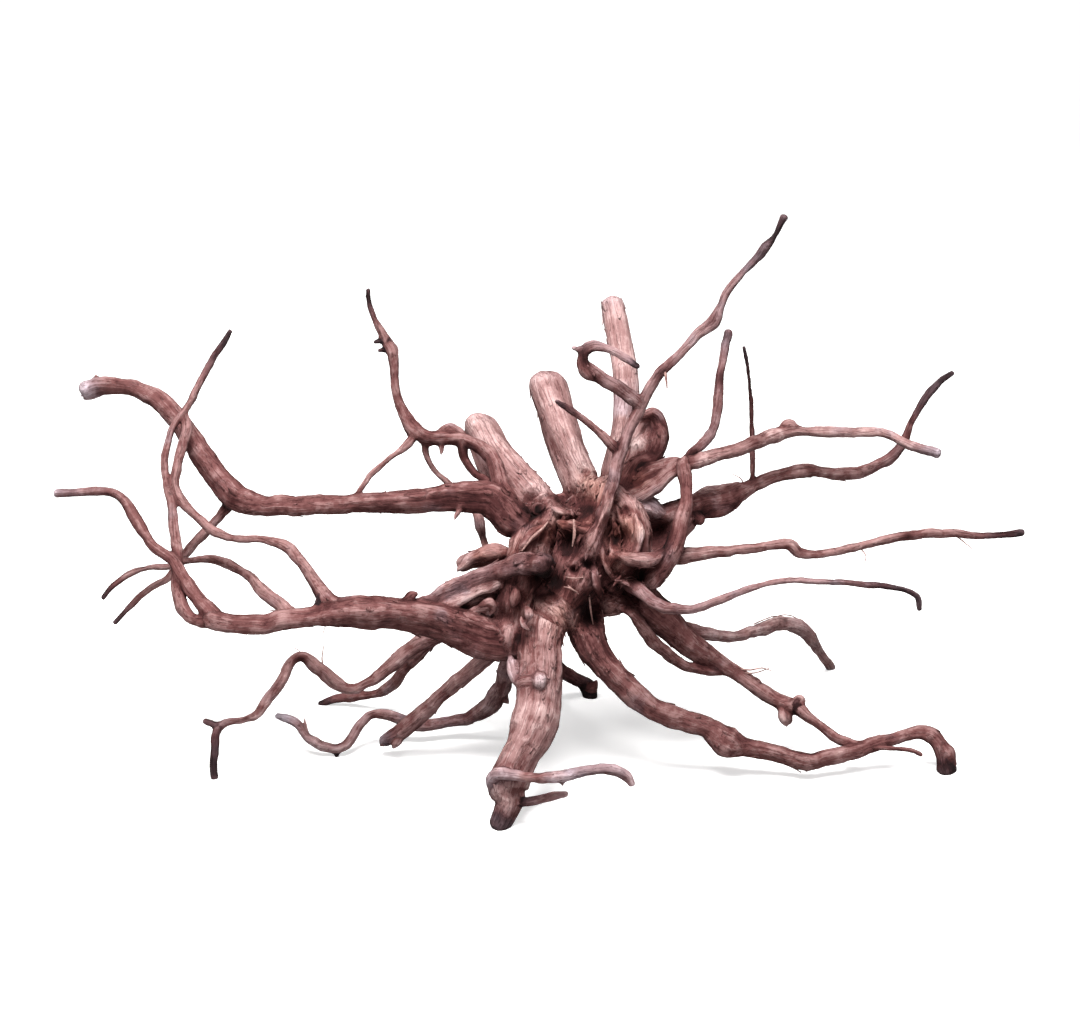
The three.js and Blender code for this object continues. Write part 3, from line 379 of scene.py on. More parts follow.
def followed(points):
    """Stations along a centripetal Catmull-Rom curve: between two points the curve is the cubic whose
    end slopes weigh the neighbouring chords by the square roots of their lengths. Gives places,
    directions, radii and lengths along the root."""
    spots, radii = placed(points)
    knots = np.vstack([2 * spots[0] - spots[1], spots, 2 * spots[-1] - spots[-2]])
    weights = np.sqrt(np.linalg.norm(np.diff(knots, axis=0), axis=1))[:, None]
    a, b, c, d = knots[:-3], knots[1:-2], knots[2:-1], knots[3:]
    g, h, k = weights[:-2], weights[1:-1], weights[2:]
    leaving = ((b - a) / g - (c - a) / (g + h) + (c - b) / h) * h
    reaching = ((c - b) / h - (d - b) / (h + k) + (d - c) / k) * h
    chords = np.linalg.norm(c - b, axis=1)
    cuts = np.maximum(1, np.round(chords / STATION_STEP)).astype(int)
    span = np.repeat(np.arange(len(cuts)), cuts)
    share = (np.arange(cuts.sum()) - np.repeat(np.cumsum(cuts) - cuts, cuts)) / np.repeat(cuts, cuts)
    span, share = np.append(span, len(cuts) - 1), np.append(share, 1.0)
    t = share[:, None]
    cubic = 2 * b - 2 * c + leaving + reaching
    square = 3 * c - 3 * b - 2 * leaving - reaching
    places = b[span] + t * (leaving[span] + t * (square[span] + t * cubic[span]))
    slopes = leaving[span] + t * (2 * square[span] + 3 * t * cubic[span])
    slopes /= np.linalg.norm(slopes, axis=1)[:, None]
    starts = np.cumsum(chords) - chords
    width = radii[:-1][span] * (1 - share) + radii[1:][span] * share
    return places, slopes, width, starts[span] + chords[span] * share


def crossways(slopes):
    """A direction across each station, carried along without twist: each is the last one with its part
    along the root taken away, made one long again."""
    across = []
    last = FIRST_ACROSS
    for slope in slopes:
        last = last - slope * (last @ slope)
        last = last / np.linalg.norm(last)
        across.append(last)
    return np.array(across)


def grown(name, points, kind):
    """One root as arrays: its stations, the frames across them, whether each is at the end, and how
    near its outer tip each is, as exp(-(distance / reach)^2), or STEM_TIP of that on a stem. A strand
    thins towards both ends by 0.3 + 0.75 sin(pi share)^0.7, and a stem rounds over its end by
    sqrt(1 - 0.94 (1 - distance / (STEM_ROUNDING radius))^2). Roots are a little crooked: noise along
    them, less a half, times SWAY and the smaller of 1 mm and half the radius."""
    if kind == "stem":
        last, before = np.array(points[-1][:3]), np.array(points[-2][:3])
        last = last + (last - before) / np.linalg.norm(last - before) * STEM_REACH * points[-1][3]
        points = points[:-1] + [(*last, points[-1][3])]
    places, slopes, width, along = followed(points)
    across = crossways(slopes)
    side = np.cross(slopes, across)
    left = along[-1] - along
    if kind == "strand":
        width = width * (0.3 + 0.75 * np.sin(math.pi * np.clip(along / along[-1], 0.02, 0.98)) ** 0.7)
    if kind == "stem":
        worn = np.clip(1 - left / (STEM_ROUNDING * width[-1]), 0, 1)
        width = width * np.sqrt(1 - 0.94 * worn ** 2)
    if kind == "root":
        row = np.stack([along / SWAY_LENGTH, along * 0 + len(name) * 2.7,
                        along * 0 + ord(name[-3]) * 1.3], 1)
        sway = [(layered(row, 5 + 8 * i, 2) - 0.5) * SWAY * np.minimum(1.0, 0.5 * width)
                for i in range(2)]
        places = places + sway[0][:, None] * across + sway[1][:, None] * side
    if kind == "stem":
        tip = STEM_TIP * np.exp(-(left / STEM_TIP_LENGTH) ** 2)
    else:
        outer_last = np.linalg.norm(places - CROWN_MIDDLE, axis=1).argmax() > len(places) / 2
        reach = LONG_TIPS.get(name, TIP_LENGTH)
        tipped = kind == "root" and name not in JOINED_ENDS
        tip = np.exp(-((left if outer_last else along) / reach) ** 2) * tipped
    return {"name": name, "kind": kind, "places": places, "slopes": slopes, "width": width, "tip": tip,
            "along": along, "across": across, "side": side,
            "ending": np.arange(len(places)) >= len(places) - 2}


def swollen(width, turn, along):
    """A root is not round: its radius times 1 + 0.06 cos(3 turn + along / 17) + 0.07 cos(2 turn +
    along / 29), which winds slowly along it."""
    return width * (1 + 0.06 * np.cos(3 * turn + along / 17) + 0.07 * np.cos(2 * turn + along / 29))


def tube(root, sides=TUBE_SIDES):
    """The closed skin of one root: rings round its stations, then two smaller rings and a point beyond
    each end. A stem's ends are close to flat, and all others are rounded."""
    (near, near_width), (far, far_width), beyond = SAWN_END if root["kind"] == "stem" else ROUND_END
    keep = np.arange(len(root["places"]))
    order = np.concatenate([[0, 0], keep, [keep[-1]] * 2])
    ahead = np.concatenate([[-far, -near], np.zeros(len(keep)), [near, far]])
    share = np.concatenate([[far_width, near_width], np.ones(len(keep)), [near_width, far_width]])
    turn = np.linspace(0, 2 * math.pi, sides, endpoint=False)[None, :]
    width, along = root["width"][order], root["along"][order]
    reach = swollen(width[:, None], turn, along[:, None]) * share[:, None]
    middle = root["places"][order] + root["slopes"][order] * (width * ahead)[:, None]
    rings = (middle[:, None, :] + (reach * np.cos(turn))[:, :, None] * root["across"][order][:, None, :]
             + (reach * np.sin(turn))[:, :, None] * root["side"][order][:, None, :])
    first = root["places"][0] - root["slopes"][0] * root["width"][0] * beyond
    last = root["places"][-1] + root["slopes"][-1] * root["width"][-1] * beyond
    points = np.vstack([rings.reshape(-1, 3), first, last])
    step = np.arange(sides)
    after = (step + 1) % sides
    base = (np.arange(len(order) - 1) * sides)[:, None]
    corners = [base + step, base + after, base + sides + step, base + sides + after]
    low, low_next, high, high_next = [corner.ravel() for corner in corners]
    top = (len(order) - 1) * sides
    faces = [np.stack([low, low_next, high], 1), np.stack([low_next, high_next, high], 1),
             np.stack([np.full(sides, len(points) - 2), after, step], 1),
             np.stack([np.full(sides, len(points) - 1), top + step, top + after], 1)]
    return points, np.vstack(faces)


def joined(parts):
    """Several skins as one pair of arrays, the corner numbers of each moved on by the points before."""
    counts = np.cumsum([0] + [len(points) for points, _ in parts[:-1]])
    return (np.vstack([points for points, _ in parts]),
            np.vstack([faces + start for (_, faces), start in zip(parts, counts)]))


def mesh_of(name, points, faces):
    """A mesh with these points and triangles, smooth shaded."""
    mesh = bpy.data.meshes.new(name)
    mesh.vertices.add(len(points))
    mesh.vertices.foreach_set("co", np.ascontiguousarray(points, np.float32).ravel())
    mesh.loops.add(faces.size)
    mesh.loops.foreach_set("vertex_index", np.ascontiguousarray(faces, np.int32).ravel())
    mesh.polygons.add(len(faces))
    mesh.polygons.foreach_set("loop_start", np.arange(0, faces.size, 3, dtype=np.int32))
    mesh.update(calc_edges=True)
    mesh.validate()
    mesh.shade_smooth()
    return mesh


def worked(points, faces, kind, **settings):
    """The same skin after one modifier, as points and triangles again."""
    mesh = mesh_of("working_skin", points, faces)
    holder = bpy.data.objects.new("working_skin", mesh)
    bpy.context.scene.collection.objects.link(holder)
    modifier = holder.modifiers.new(kind, kind)
    for name, value in settings.items():
        setattr(modifier, name, value)
    bpy.context.view_layer.update()
    done = holder.evaluated_get(bpy.context.evaluated_depsgraph_get()).to_mesh()
    done.calc_loop_triangles()
    out = np.empty(len(done.vertices) * 3, np.float32)
    done.vertices.foreach_get("co", out)
    corners = np.empty(len(done.loop_triangles) * 3, np.int32)
    done.loop_triangles.foreach_get("vertices", corners)
    bpy.data.objects.remove(holder)
    bpy.data.meshes.remove(mesh)
    return out.reshape(-1, 3).astype(float), corners.reshape(-1, 3)


def edges_of(faces):
    """Each edge of the triangles once, as two arrays of point numbers."""
    pairs = np.vstack([faces[:, [0, 1]], faces[:, [1, 2]], faces[:, [2, 0]]]).astype(np.int64)
    pairs.sort(axis=1)
    keys = np.unique(pairs[:, 0] * (1 << 32) + pairs[:, 1])
    return keys >> 32, keys & 0xFFFFFFFF


def spread(values, edges):
    """The mean of each point's neighbours: the neighbours' values added up, over their number."""
    start, end = edges
    size = len(values)
    number = np.maximum(1, np.bincount(start, minlength=size) + np.bincount(end, minlength=size))
    columns = values.reshape(size, -1)
    sums = [np.bincount(start, columns[:, i][end], size) + np.bincount(end, columns[:, i][start], size)
            for i in range(columns.shape[1])]
    return (np.stack(sums, 1) / number[:, None]).reshape(values.shape)


def outward(points, faces):
    """The way out at each point: the sum of its triangles' cross products, made one long."""
    a, b, c = points[faces[:, 0]], points[faces[:, 1]], points[faces[:, 2]]
    cross = np.cross(b - a, c - a)
    total = np.stack([np.bincount(faces.ravel(), np.repeat(cross[:, i], 3), len(points))
                      for i in range(3)], 1)
    return total / np.maximum(1e-9, np.linalg.norm(total, axis=1))[:, None]


def nearest(points, roots):
    """For each point: the root whose skin is nearest by distance from the centre line less the radius,
    its station there, and how far the next root's skin is, FAR_OFF at most."""
    size = len(points)
    best, second = np.full(size, FAR_OFF), np.full(size, FAR_OFF)
    which, station = np.zeros(size, int), np.zeros(size, int)
    for number, root in enumerate(roots):
        places = root["places"]
        room = root["width"].max() * WIDEST_SWELL + NEAR_ROOT
        inside = ((points > places.min(0) - room) & (points < places.max(0) + room)).all(1)
        found = np.nonzero(inside)[0]
        for block in np.array_split(found, len(found) * len(places) // PAIRS_AT_ONCE + 1):
            if not len(block):
                continue
            local = (points[block] - places[0]).astype(np.float32)
            centre = (places - places[0]).astype(np.float32)
            square = (local ** 2).sum(1)[:, None] + (centre ** 2).sum(1) - 2 * local @ centre.T
            gap = np.sqrt(np.maximum(square, 0)) - root["width"].astype(np.float32)
            at = gap.argmin(1)
            gap = gap[np.arange(len(block)), at].astype(float)
            closer = gap < best[block]
            second[block] = np.where(closer, best[block], np.minimum(second[block], gap))
            which[block] = np.where(closer, number, which[block])
            station[block] = np.where(closer, at, station[block])
            best[block] = np.where(closer, gap, best[block])
    return which, station, second


def at_station(key, roots, found):
    """One of the roots' arrays, read at the station that is nearest to each point."""
    which, station, _ = found
    starts = np.cumsum([0] + [len(root["places"]) for root in roots[:-1]])
    return np.concatenate([root[key] for root in roots])[starts[which] + station]


def grain_frame(points, roots, found):
    """Where each point lies in its own root's grain: its offset from the centre line along the two
    directions across and its length along the root. Gives the root's radius and direction too."""
    places, slopes, across, side, width, along = [
        at_station(key, roots, found)
        for key in ("places", "slopes", "across", "side", "width", "along")]
    offset = points - places
    ahead = (offset * slopes).sum(1)
    local = np.stack([(offset * across).sum(1), (offset * side).sum(1), along + ahead], 1)
    return local, width, slopes


# Large odd numbers that mix a cell's three whole numbers into one.
MIXERS = [np.uint32(number) for number in (374761393, 668265263, 2246822519, 1274126177)]


def cell_value(x, y, z, seed):
    """A fixed value from 0 to 1 for each cell corner: the whole numbers times large odd numbers, joined
    by exclusive or, folded on themselves and multiplied again."""
    mixed = (x * MIXERS[0]) ^ (y * MIXERS[1]) ^ (z * MIXERS[2])
    mixed = (mixed ^ np.uint32(seed * 2654435 + 97)) * MIXERS[3]
    mixed = (mixed ^ (mixed >> np.uint32(15))) * MIXERS[2]
    return ((mixed ^ (mixed >> np.uint32(13))) & np.uint32(0xFFFFFF)).astype(float) / 0xFFFFFF


def noise(places, seed):
    """Smooth value noise from 0 to 1: the eight corner values of a cell, blended by u = f f (3 - 2 f)
    of the part f of the way through it on each axis."""
    floor = np.floor(places)
    part = places - floor
    low = floor.astype(np.int64).astype(np.uint32)
    x, y, z = low[:, 0], low[:, 1], low[:, 2]
    one = np.uint32(1)
    u = part * part * (3 - 2 * part)
    ux, uy, uz = u[:, 0], u[:, 1], u[:, 2]
    near = cell_value(x, y, z, seed) * (1 - ux) + cell_value(x + one, y, z, seed) * ux
    near_up = cell_value(x, y + one, z, seed) * (1 - ux) + cell_value(x + one, y + one, z, seed) * ux
    far = cell_value(x, y, z + one, seed) * (1 - ux) + cell_value(x + one, y, z + one, seed) * ux
    far_up = (cell_value(x, y + one, z + one, seed) * (1 - ux)
              + cell_value(x + one, y + one, z + one, seed) * ux)
    return (near * (1 - uy) + near_up * uy) * (1 - uz) + (far * (1 - uy) + far_up * uy) * uz


def layered(places, seed, layers=3):
    """Noise in layers: each is twice as fine as the one before, moved on by 7.3 and half as strong, and
    their sum is divided by the sum of the strengths."""
    strengths = 0.5 ** np.arange(layers)
    total = sum(s * noise(places * 2.0 ** i + 7.3 * i, seed + i) for i, s in enumerate(strengths))
    return total / strengths.sum()


def ridged(places, seed):
    """Noise folded into ridges: 1 - |2 n - 1|, which is 1 along thin winding lines."""
    return 1 - np.abs(2 * layered(places, seed, 2) - 1)


def step_between(low, high, value):
    """Smooth from 0 at low to 1 at high: t t (3 - 2 t) of the share t of the way."""
    t = np.clip((value - low) / (high - low), 0, 1)
    return t * t * (3 - 2 * t)


# How deep the pressed hollows and the patches reach towards the camera, in radii.
HOLLOW_DEPTH = 2.2
PATCH_DEPTH = 3
# Hollows of the crown as (across, up, nearer, radius, depth): pressed in away from the camera.
HOLLOWS = [
    (-4, 6, 13, 6, 9), (12, 11, 8, 6, 6), (21, 6, 12, 7.5, 12), (14, -14, 22, 7.5, 14),
    (3, -31.5, 20, 8, 16), (25, -24, 24, 3.0, 7), (17, -27, 27, 2.0, 5), (38.5, -11, 20, 5, 12),
    (43, 2, 14, 3, 5), (60, -9, 4, 6.5, 12), (26, -47, 10, 7, 16), (54, 44, -10, 5, 4),
    (8, 20, -4, 2.2, 2), (23, 21, -1, 2.6, 2.5), (-9, -42, 28, 4, 5), (37, -33, 18, 6.5, 9),
    (-18, -51, 24, 4.5, 6), (-2, -9, 18, 4, 6), (31, -4, 16, 4, 7), (-24, -35, 18, 5, 7),
    (47, -29, 14, 5, 8), (-31, -24, 10, 4, 4), (44, -40, 8, 6, 9), (30, -38, 16, 4, 6),
]


# Patches of the wood as (across, up, nearer, radius, strength). The first table is painted shade, in
# hollows, in gaps and under roots, with a few dark knots among it; where the strength is under 0 it is
# paler, partly painted light and partly paler wood. The second table holds warm brown ones.
PAINTED_SHADE_AND_LIGHT = [
    (9.4, -45, 28, 8, -0.3), (3, -52, 28, 7, -0.25), (14, -52, 24, 6, -0.1), (-1.5, -97, 42, 12, -0.2),
    (1, -72, 31, 10, -0.2), (6, -84, 36, 9, -0.1), (76, 30, -4, 4.5, 0.7), (71, 25, 0, 3, 0.5),
    (29, 69, 21, 4, 0.4), (22, 76, 24, 3.5, 0.5), (40, 61, 18, 4, 0.3), (103, 36, -20, 4, 0.6),
    (110, 38.5, -16, 4, 0.6), (183.5, -9.5, -16, 4, 0.6), (135, 23, -41, 4, 0.5),
    (90.5, 68, -31, 5, 0.6), (89, 96, 18, 4, 0.5), (61, 72, 14, 5, 0.5), (48.5, 75, 28, 3, 0.6),
    (39.5, 34.5, 18, 4, 0.6), (-121, -69.5, -30, 5, 0.5), (-80, -99.5, -34, 4, 0.4),
    (80, 3, -16, 5, 0.5), (97, 9, -25, 4, 0.5), (-86, -98, -33, 3, 0.3), (-156, 5, -5, 5, 0.4),
    (-178, 60, -8, 4, 0.4), (88, 34, -12, 3, 0.3), (-1.1, -32.5, 26, 5, 1.0),
    (6.4, -33.6, 26, 5.5, 1.0), (1.5, -30, 30, 4, 0.8), (-1.1, 1.1, 12, 4, 0.8),
    (18.1, 6.9, 14, 4, 0.8), (25.1, 3.2, 14, 3.5, 0.8), (15.5, -10.7, 20, 3, 0.6),
    (13.9, -17.6, 22, 3, 0.55), (36.8, -4.3, 20, 2.6, 0.7), (38.4, -11.7, 22, 3.2, 0.8),
    (60.8, -7.5, 6, 5, 1.0), (59.7, -14.4, 8, 4.5, 0.9), (23.5, -24, 27, 2.2, 0.8),
    (22.4, -42.7, 22, 5, 0.6), (29.9, -39.5, 20, 5, 0.6), (38.4, -38.9, 18, 5, 0.6),
    (26.7, -50.1, 14, 5, 0.7), (-28.8, -44.8, 22, 3.6, 0.9), (-38.4, -45.9, 22, 3, 0.8),
    (-19.2, -42.1, 24, 3.6, 0.7), (-13.9, -34.7, 26, 4, 0.6), (23.5, 12.8, -3, 9, -0.35),
    (-2.1, 7.5, -2, 9, -0.25), (20.3, 25.6, -14, 9, -0.15), (-4.3, 3.2, 14, 4.5, 0.7),
    (1.1, 5.3, 12, 4, 0.4), (8.5, 8.5, 8, 4, 0.7), (13.3, 10.1, 6, 4, 0.6), (0, -22.4, 40, 5, 0.4),
    (49.1, 25.1, -8, 4, 0.6), (50.1, -30.4, 16, 4, 0.6), (-11.7, -48, 30, 3.4, 0.5),
    (-9.6, -61.9, 28, 4, 0.6), (21.9, 82.1, 24, 5, 0.5), (4.3, -22.9, 36, 3.6, 0.5),
    (29.9, -8.5, 27, 5, -0.3), (26.1, -19.2, 28, 4, -0.2), (34.1, 4.3, 24, 5, -0.3),
    (51.2, -8.5, 24, 4, -0.4), (44.8, -12.8, 24, 4, -0.2), (70.4, -1.1, 12, 5, -0.2),
]
WARMED = [
    (9.6, -45.9, 28, 9, 0.3), (14.9, -52.3, 24, 8, 0.4), (25.6, 14.9, 4, 8, 0.6),
    (33.1, 8.5, 2, 6, 0.6), (42.7, -6.4, 22, 8, 0.8), (-30.9, -23.5, 14, 8, 0.7),
    (3.2, -7.5, 22, 6, 0.7), (11.7, -3.2, 18, 5, 0.6), (49.1, 18.1, 0, 6, 0.6),
    (38.4, -25.6, 22, 6, 0.4), (-12.8, -21.3, 22, 8, 0.5), (-6.4, -42.7, 28, 6, 0.4),
    (23.5, -3.2, 20, 5, 0.5),
]


def patches(points, table, deep):
    """How strong a table's patches are at each point: the sum of strength exp(-(a^2 + b^2) / radius^2 -
    (c / deep radius)^2), with a and b the offsets across and up, and c that towards the camera."""
    middles, _ = placed([patch[:4] for patch in table])
    total = np.zeros(len(points))
    for middle, (_, _, _, radius, strength) in zip(middles, table):
        offset = points - middle
        c = offset @ TOWARD
        flat = (offset ** 2).sum(1) - c ** 2
        total += strength * np.exp(-flat / radius ** 2 - (c / (deep * radius)) ** 2)
    return total


def crown_share(points):
    """1 in the crown's middle, less towards its edge: exp(-CROWN_FALLOFF (distance / reach)^2)."""
    apart = np.linalg.norm(points - CROWN_MIDDLE, axis=1) / CROWN_REACH
    return np.exp(-CROWN_FALLOFF * apart ** 2)


def fillet(points, faces, roots):
    """Web between roots: points near a second root, by exp(-(gap / FILLET_WIDTH)^2), are drawn to the
    mean of their neighbours again and again."""
    _, _, second = nearest(points, roots)
    weight = np.exp(-(np.maximum(second, 0) / FILLET_WIDTH) ** 2)
    edges = edges_of(faces)
    weight = np.clip(spread(weight, edges), FILLET_LEAST, 1)[:, None] * FILLET_PULL
    for _ in range(FILLET_ROUNDS):
        points = points + weight * (spread(points, edges) - points)
    return points


def pressed(points):
    """The points moved away from the camera by the sum of the hollows there."""
    return points - TOWARD * patches(points, HOLLOWS, HOLLOW_DEPTH)[:, None]


def relief(points, roots):
    """How far the skin stands out or in, in mm, along its way out: long and fine ridges that follow the
    grain, swellings along each root, knobs all over, and lumps and cracks in the crown. Each is its
    noise less its usual value, times a strength that grows with the radius, with the crown or both. A
    radius counts up to 9 mm, and a stem has about half of the relief."""
    found = nearest(points, roots)
    local, width, _ = grain_frame(points, roots, found)
    shifted = local + GRAIN_SHIFT * found[0][:, None]
    wander = [layered(points / LUMP_SIZE + 5.0 * i, 7 + i, 2) - 0.5 for i in range(2)]
    waved = shifted + WANDER * np.stack([wander[0], wander[1], 0 * width], 1)
    long_grain = ridged(waved / LONG_GRAIN, 11)
    fine_grain = ridged(waved / FINE_GRAIN, 23)
    strands = layered(waved / STRAND_GRAIN, 37)
    cracks = ridged(waved / CRACK_GRAIN, 83)
    swells = layered(np.stack([shifted[:, 2] / SWELLING_LENGTH, found[0] * 3.7, width * 0], 1), 41)
    knobs = layered(points / KNOB_SIZE, 53)
    small_knobs = layered(points / SMALL_KNOB_SIZE, 61, 2)
    lumps = layered(points / LUMP_SIZE + 3.1, 71, 2)
    stem = by_root(IS_STEM, roots, found[0])
    lone = step_between(*LONE_GAPS, found[2])
    crown = crown_share(points)
    big = np.minimum(width, 9.0)
    move = (long_grain - 0.6) * (0.04 * big + 0.2) + (fine_grain - 0.58) * (0.02 * big + 0.22)
    move += ((strands - 0.5) * (0.24 + 0.3 * crown) * big
             + (swells - 0.5) * 0.6 * np.minimum(big, 3.4) * lone)
    move += (knobs - 0.5) * (0.38 + 0.3 * crown) * np.minimum(big, 3) + (small_knobs - 0.5) * 0.4
    move *= 1 - 0.55 * stem
    return move + crown * ((lumps - 0.52) * 5.0 + (cracks - 0.6) * 1.3) * (1 - 0.6 * stem)


def whole_skin(roots, low, high):
    """All the roots' tubes grown together by a voxel skin, webbed, given their relief, cut level on the
    surface it stands on and kept inside the frame's box, then thinned to SKIN_TRIANGLES."""
    points, faces = joined([tube(root) for root in roots])
    points, faces = worked(points, faces, "REMESH", mode="VOXEL", voxel_size=VOXEL)
    points = fillet(points, faces, roots)
    move = relief(points, roots)
    points = pressed(points + outward(points, faces) * move[:, None])
    points = points + SMOOTHING * (spread(points, edges_of(faces)) - points)
    points = np.clip(points, low, high)
    points, faces = worked(points, faces, "DECIMATE", ratio=SKIN_TRIANGLES / len(faces))
    return np.clip(points, low, high), faces


# How far the skin is smoothed to find the hollows that get painted shade, as (rounds, strength), and
# its looks, in rounds.
HOLLOW_SCALES = [(3, 0.7), (10, 0.35)]
LOOK_ROUNDS = 6
# How squarely a skin has to face along its stem to be a sawn face, from not at all to fully.
SAWN_FACING = 0.45, 0.7
# Roots that have weathered grey, and how far; dark ones; and pale ones.
GREYED = {"grey_root": 0.5, "grey_lump": 0.8, "tall_shoot": 0.25, "toe_branch": 0.6, "hook": 0.25,
          "hooked_root": 0.15, "slim_root": 0.3, "wavy_root": 0.25, "knee_nodule": 0.4,
          "raised_stick": 0.3, "inner_grey_lump": 0.5, "hook_fuzz": 0.8, "hook_spur": 0.8,
          "grey_end_tooth": 1.0, "grey_end_tooth_low": 0.8, "knob_left": 0.5, "front_leg_knob": 0.4}
DARKENED = {"dark_twig": 0.4, "upright": 0.45, "upper_strand": 0.4, "pale_strand": 0.15,
            "raised_stick": 0.2, "dark_knob": 0.8, "hook_knuckle": 0.5, "curl_swell": 0.8,
            "grey_end_tooth_low": 0.6, "knob_bridge": 0.5, "stub_flare": 0.8, "blunt_tooth": 0.3,
            "foot_flare": 0.3, "left_root": 0.45, "left_root_rib": 0.4, "broad_left_root": 0.5,
            "broad_root_rib": 0.4, "broad_root_lower_rib": 0.5, "right_root": 0.1, "bowed_branch": 0.15,
            "dark_loop": 0.7, "rear_stub": 0.6, "rear_left_root": 0.3, "curl": 0.6, "grey_root": 0.12,
            "under_strand": 0.3, "knotted_root": 0.4, "long_root_knot": 1.0, "long_root_underlump": 0.6,
            "upper_root_thorn": 0.3, "core": 0.2, "low_root": 0.38, "low_root_strand": 0.6, "horn": 0.3,
            "far_left_root": 0.5, "long_root": 0.2, "left_foot_root": 0.1, "blunt_root": 0.1,
            "long_upright": 0.15}
PALED = {"low_stem": 0.25, "middle_stem": 0.35, "tall_stem": 0.4, "curl_heart": 0.7, "curl_fill": 0.5,
         "pale_ridge": 0.35, "crumbs": 0.7, "hooked_root": 0.3, "lace_ridge": 0.9,
         "knee_nodule_low": 0.3, "left_foot_flap": 0.8, "spur_body": 0.2, "pale_root": 0.35,
         "hook_fuzz": 0.5, "hook_spur": 0.6, "hook": 0.15, "pale_flake": 0.8, "burl_cream_band": 0.5,
         "upper_root": 0.35}
# Roots with a pale, dry tip.
PALE_TIPS = {"far_left_root": 0.9, "raised_stick": 0.35, "left_root": 1.0, "wavy_root": 1.1,
             "hooked_root": 0.6, "upper_root": 0.5, "blunt_root": 0.6, "toe_branch": 0.8}


def by_root(values, roots, which):
    """The value given for each point's own root, 0 where there is none."""
    return np.array([values.get(root["name"], 0.0) for root in roots])[which]


def wood_marks(points, faces, roots):
    """What the material reads at each point: the grain's own coordinates, the painted shade of its
    hollows, from its way in from a smoothed skin less its root's mean, how much of the crown it is, how
    far its root is greyed, darkened or paled, softened at the edges, how much painted shade or painted
    light its patches give, how warm it is, how near a tip it is, whether it is a sawn face, and how far
    from the heart. Gives the way out, grain and radius too."""
    found = nearest(points, roots)
    which = found[0]
    local, width, slopes = grain_frame(points, roots, found)
    edges = edges_of(faces)
    out = outward(points, faces)
    smooth, sunk = points, 0
    for rounds, strength in HOLLOW_SCALES:
        for _ in range(rounds):
            smooth = spread(smooth, edges)
        sunk = sunk + strength * ((smooth - points) * out).sum(1)
    number = np.maximum(1, np.bincount(which, minlength=len(roots)))
    usual = np.bincount(which, sunk, len(roots)) / number
    looks = np.stack([by_root(values, roots, which) for values in (GREYED, DARKENED, PALED)], 1)
    for _ in range(LOOK_ROUNDS):
        looks = spread(looks, edges)
    tip = at_station("tip", roots, found)
    dry = by_root(PALE_TIPS, roots, which)
    looks[:, 2] += tip * dry
    looks[:, 0] += 0.6 * tip * dry
    stem_end = by_root(IS_STEM, roots, which) * at_station("ending", roots, found)
    return {"grain": (local + GRAIN_SHIFT * which[:, None]) * MM,
            # Painted shade: the deeper a point lies in a hollow, the darker the wood is painted there.
            "hollow_shade": np.clip(0.5 + sunk - usual[which], 0, 1), "crown": crown_share(points),
            "greyed": looks[:, 0], "darkened": looks[:, 1], "paled": looks[:, 2],
            # Painted shade from the shaded patches, and painted light where they are under 0.
            "shaded": np.clip(patches(points, PAINTED_SHADE_AND_LIGHT, PATCH_DEPTH), -0.6, 1),
            "warmed": np.clip(patches(points, WARMED, PATCH_DEPTH), 0, 1),
            "tip": tip * (1 - 0.75 * np.minimum(dry, 1)),
            "sawn": stem_end * step_between(*SAWN_FACING, (out * slopes).sum(1)),
            "ring": np.linalg.norm(local[:, :2], axis=1) * MM}, out, slopes, width


def add_marks(mesh, marks):
    """Stores the marks on the mesh's points under their names."""
    for name, values in marks.items():
        vector = values.ndim == 2
        kept = mesh.attributes.new(name, "FLOAT_VECTOR" if vector else "FLOAT", "POINT")
        kept.data.foreach_set("vector" if vector else "value", values.astype(np.float32).ravel())


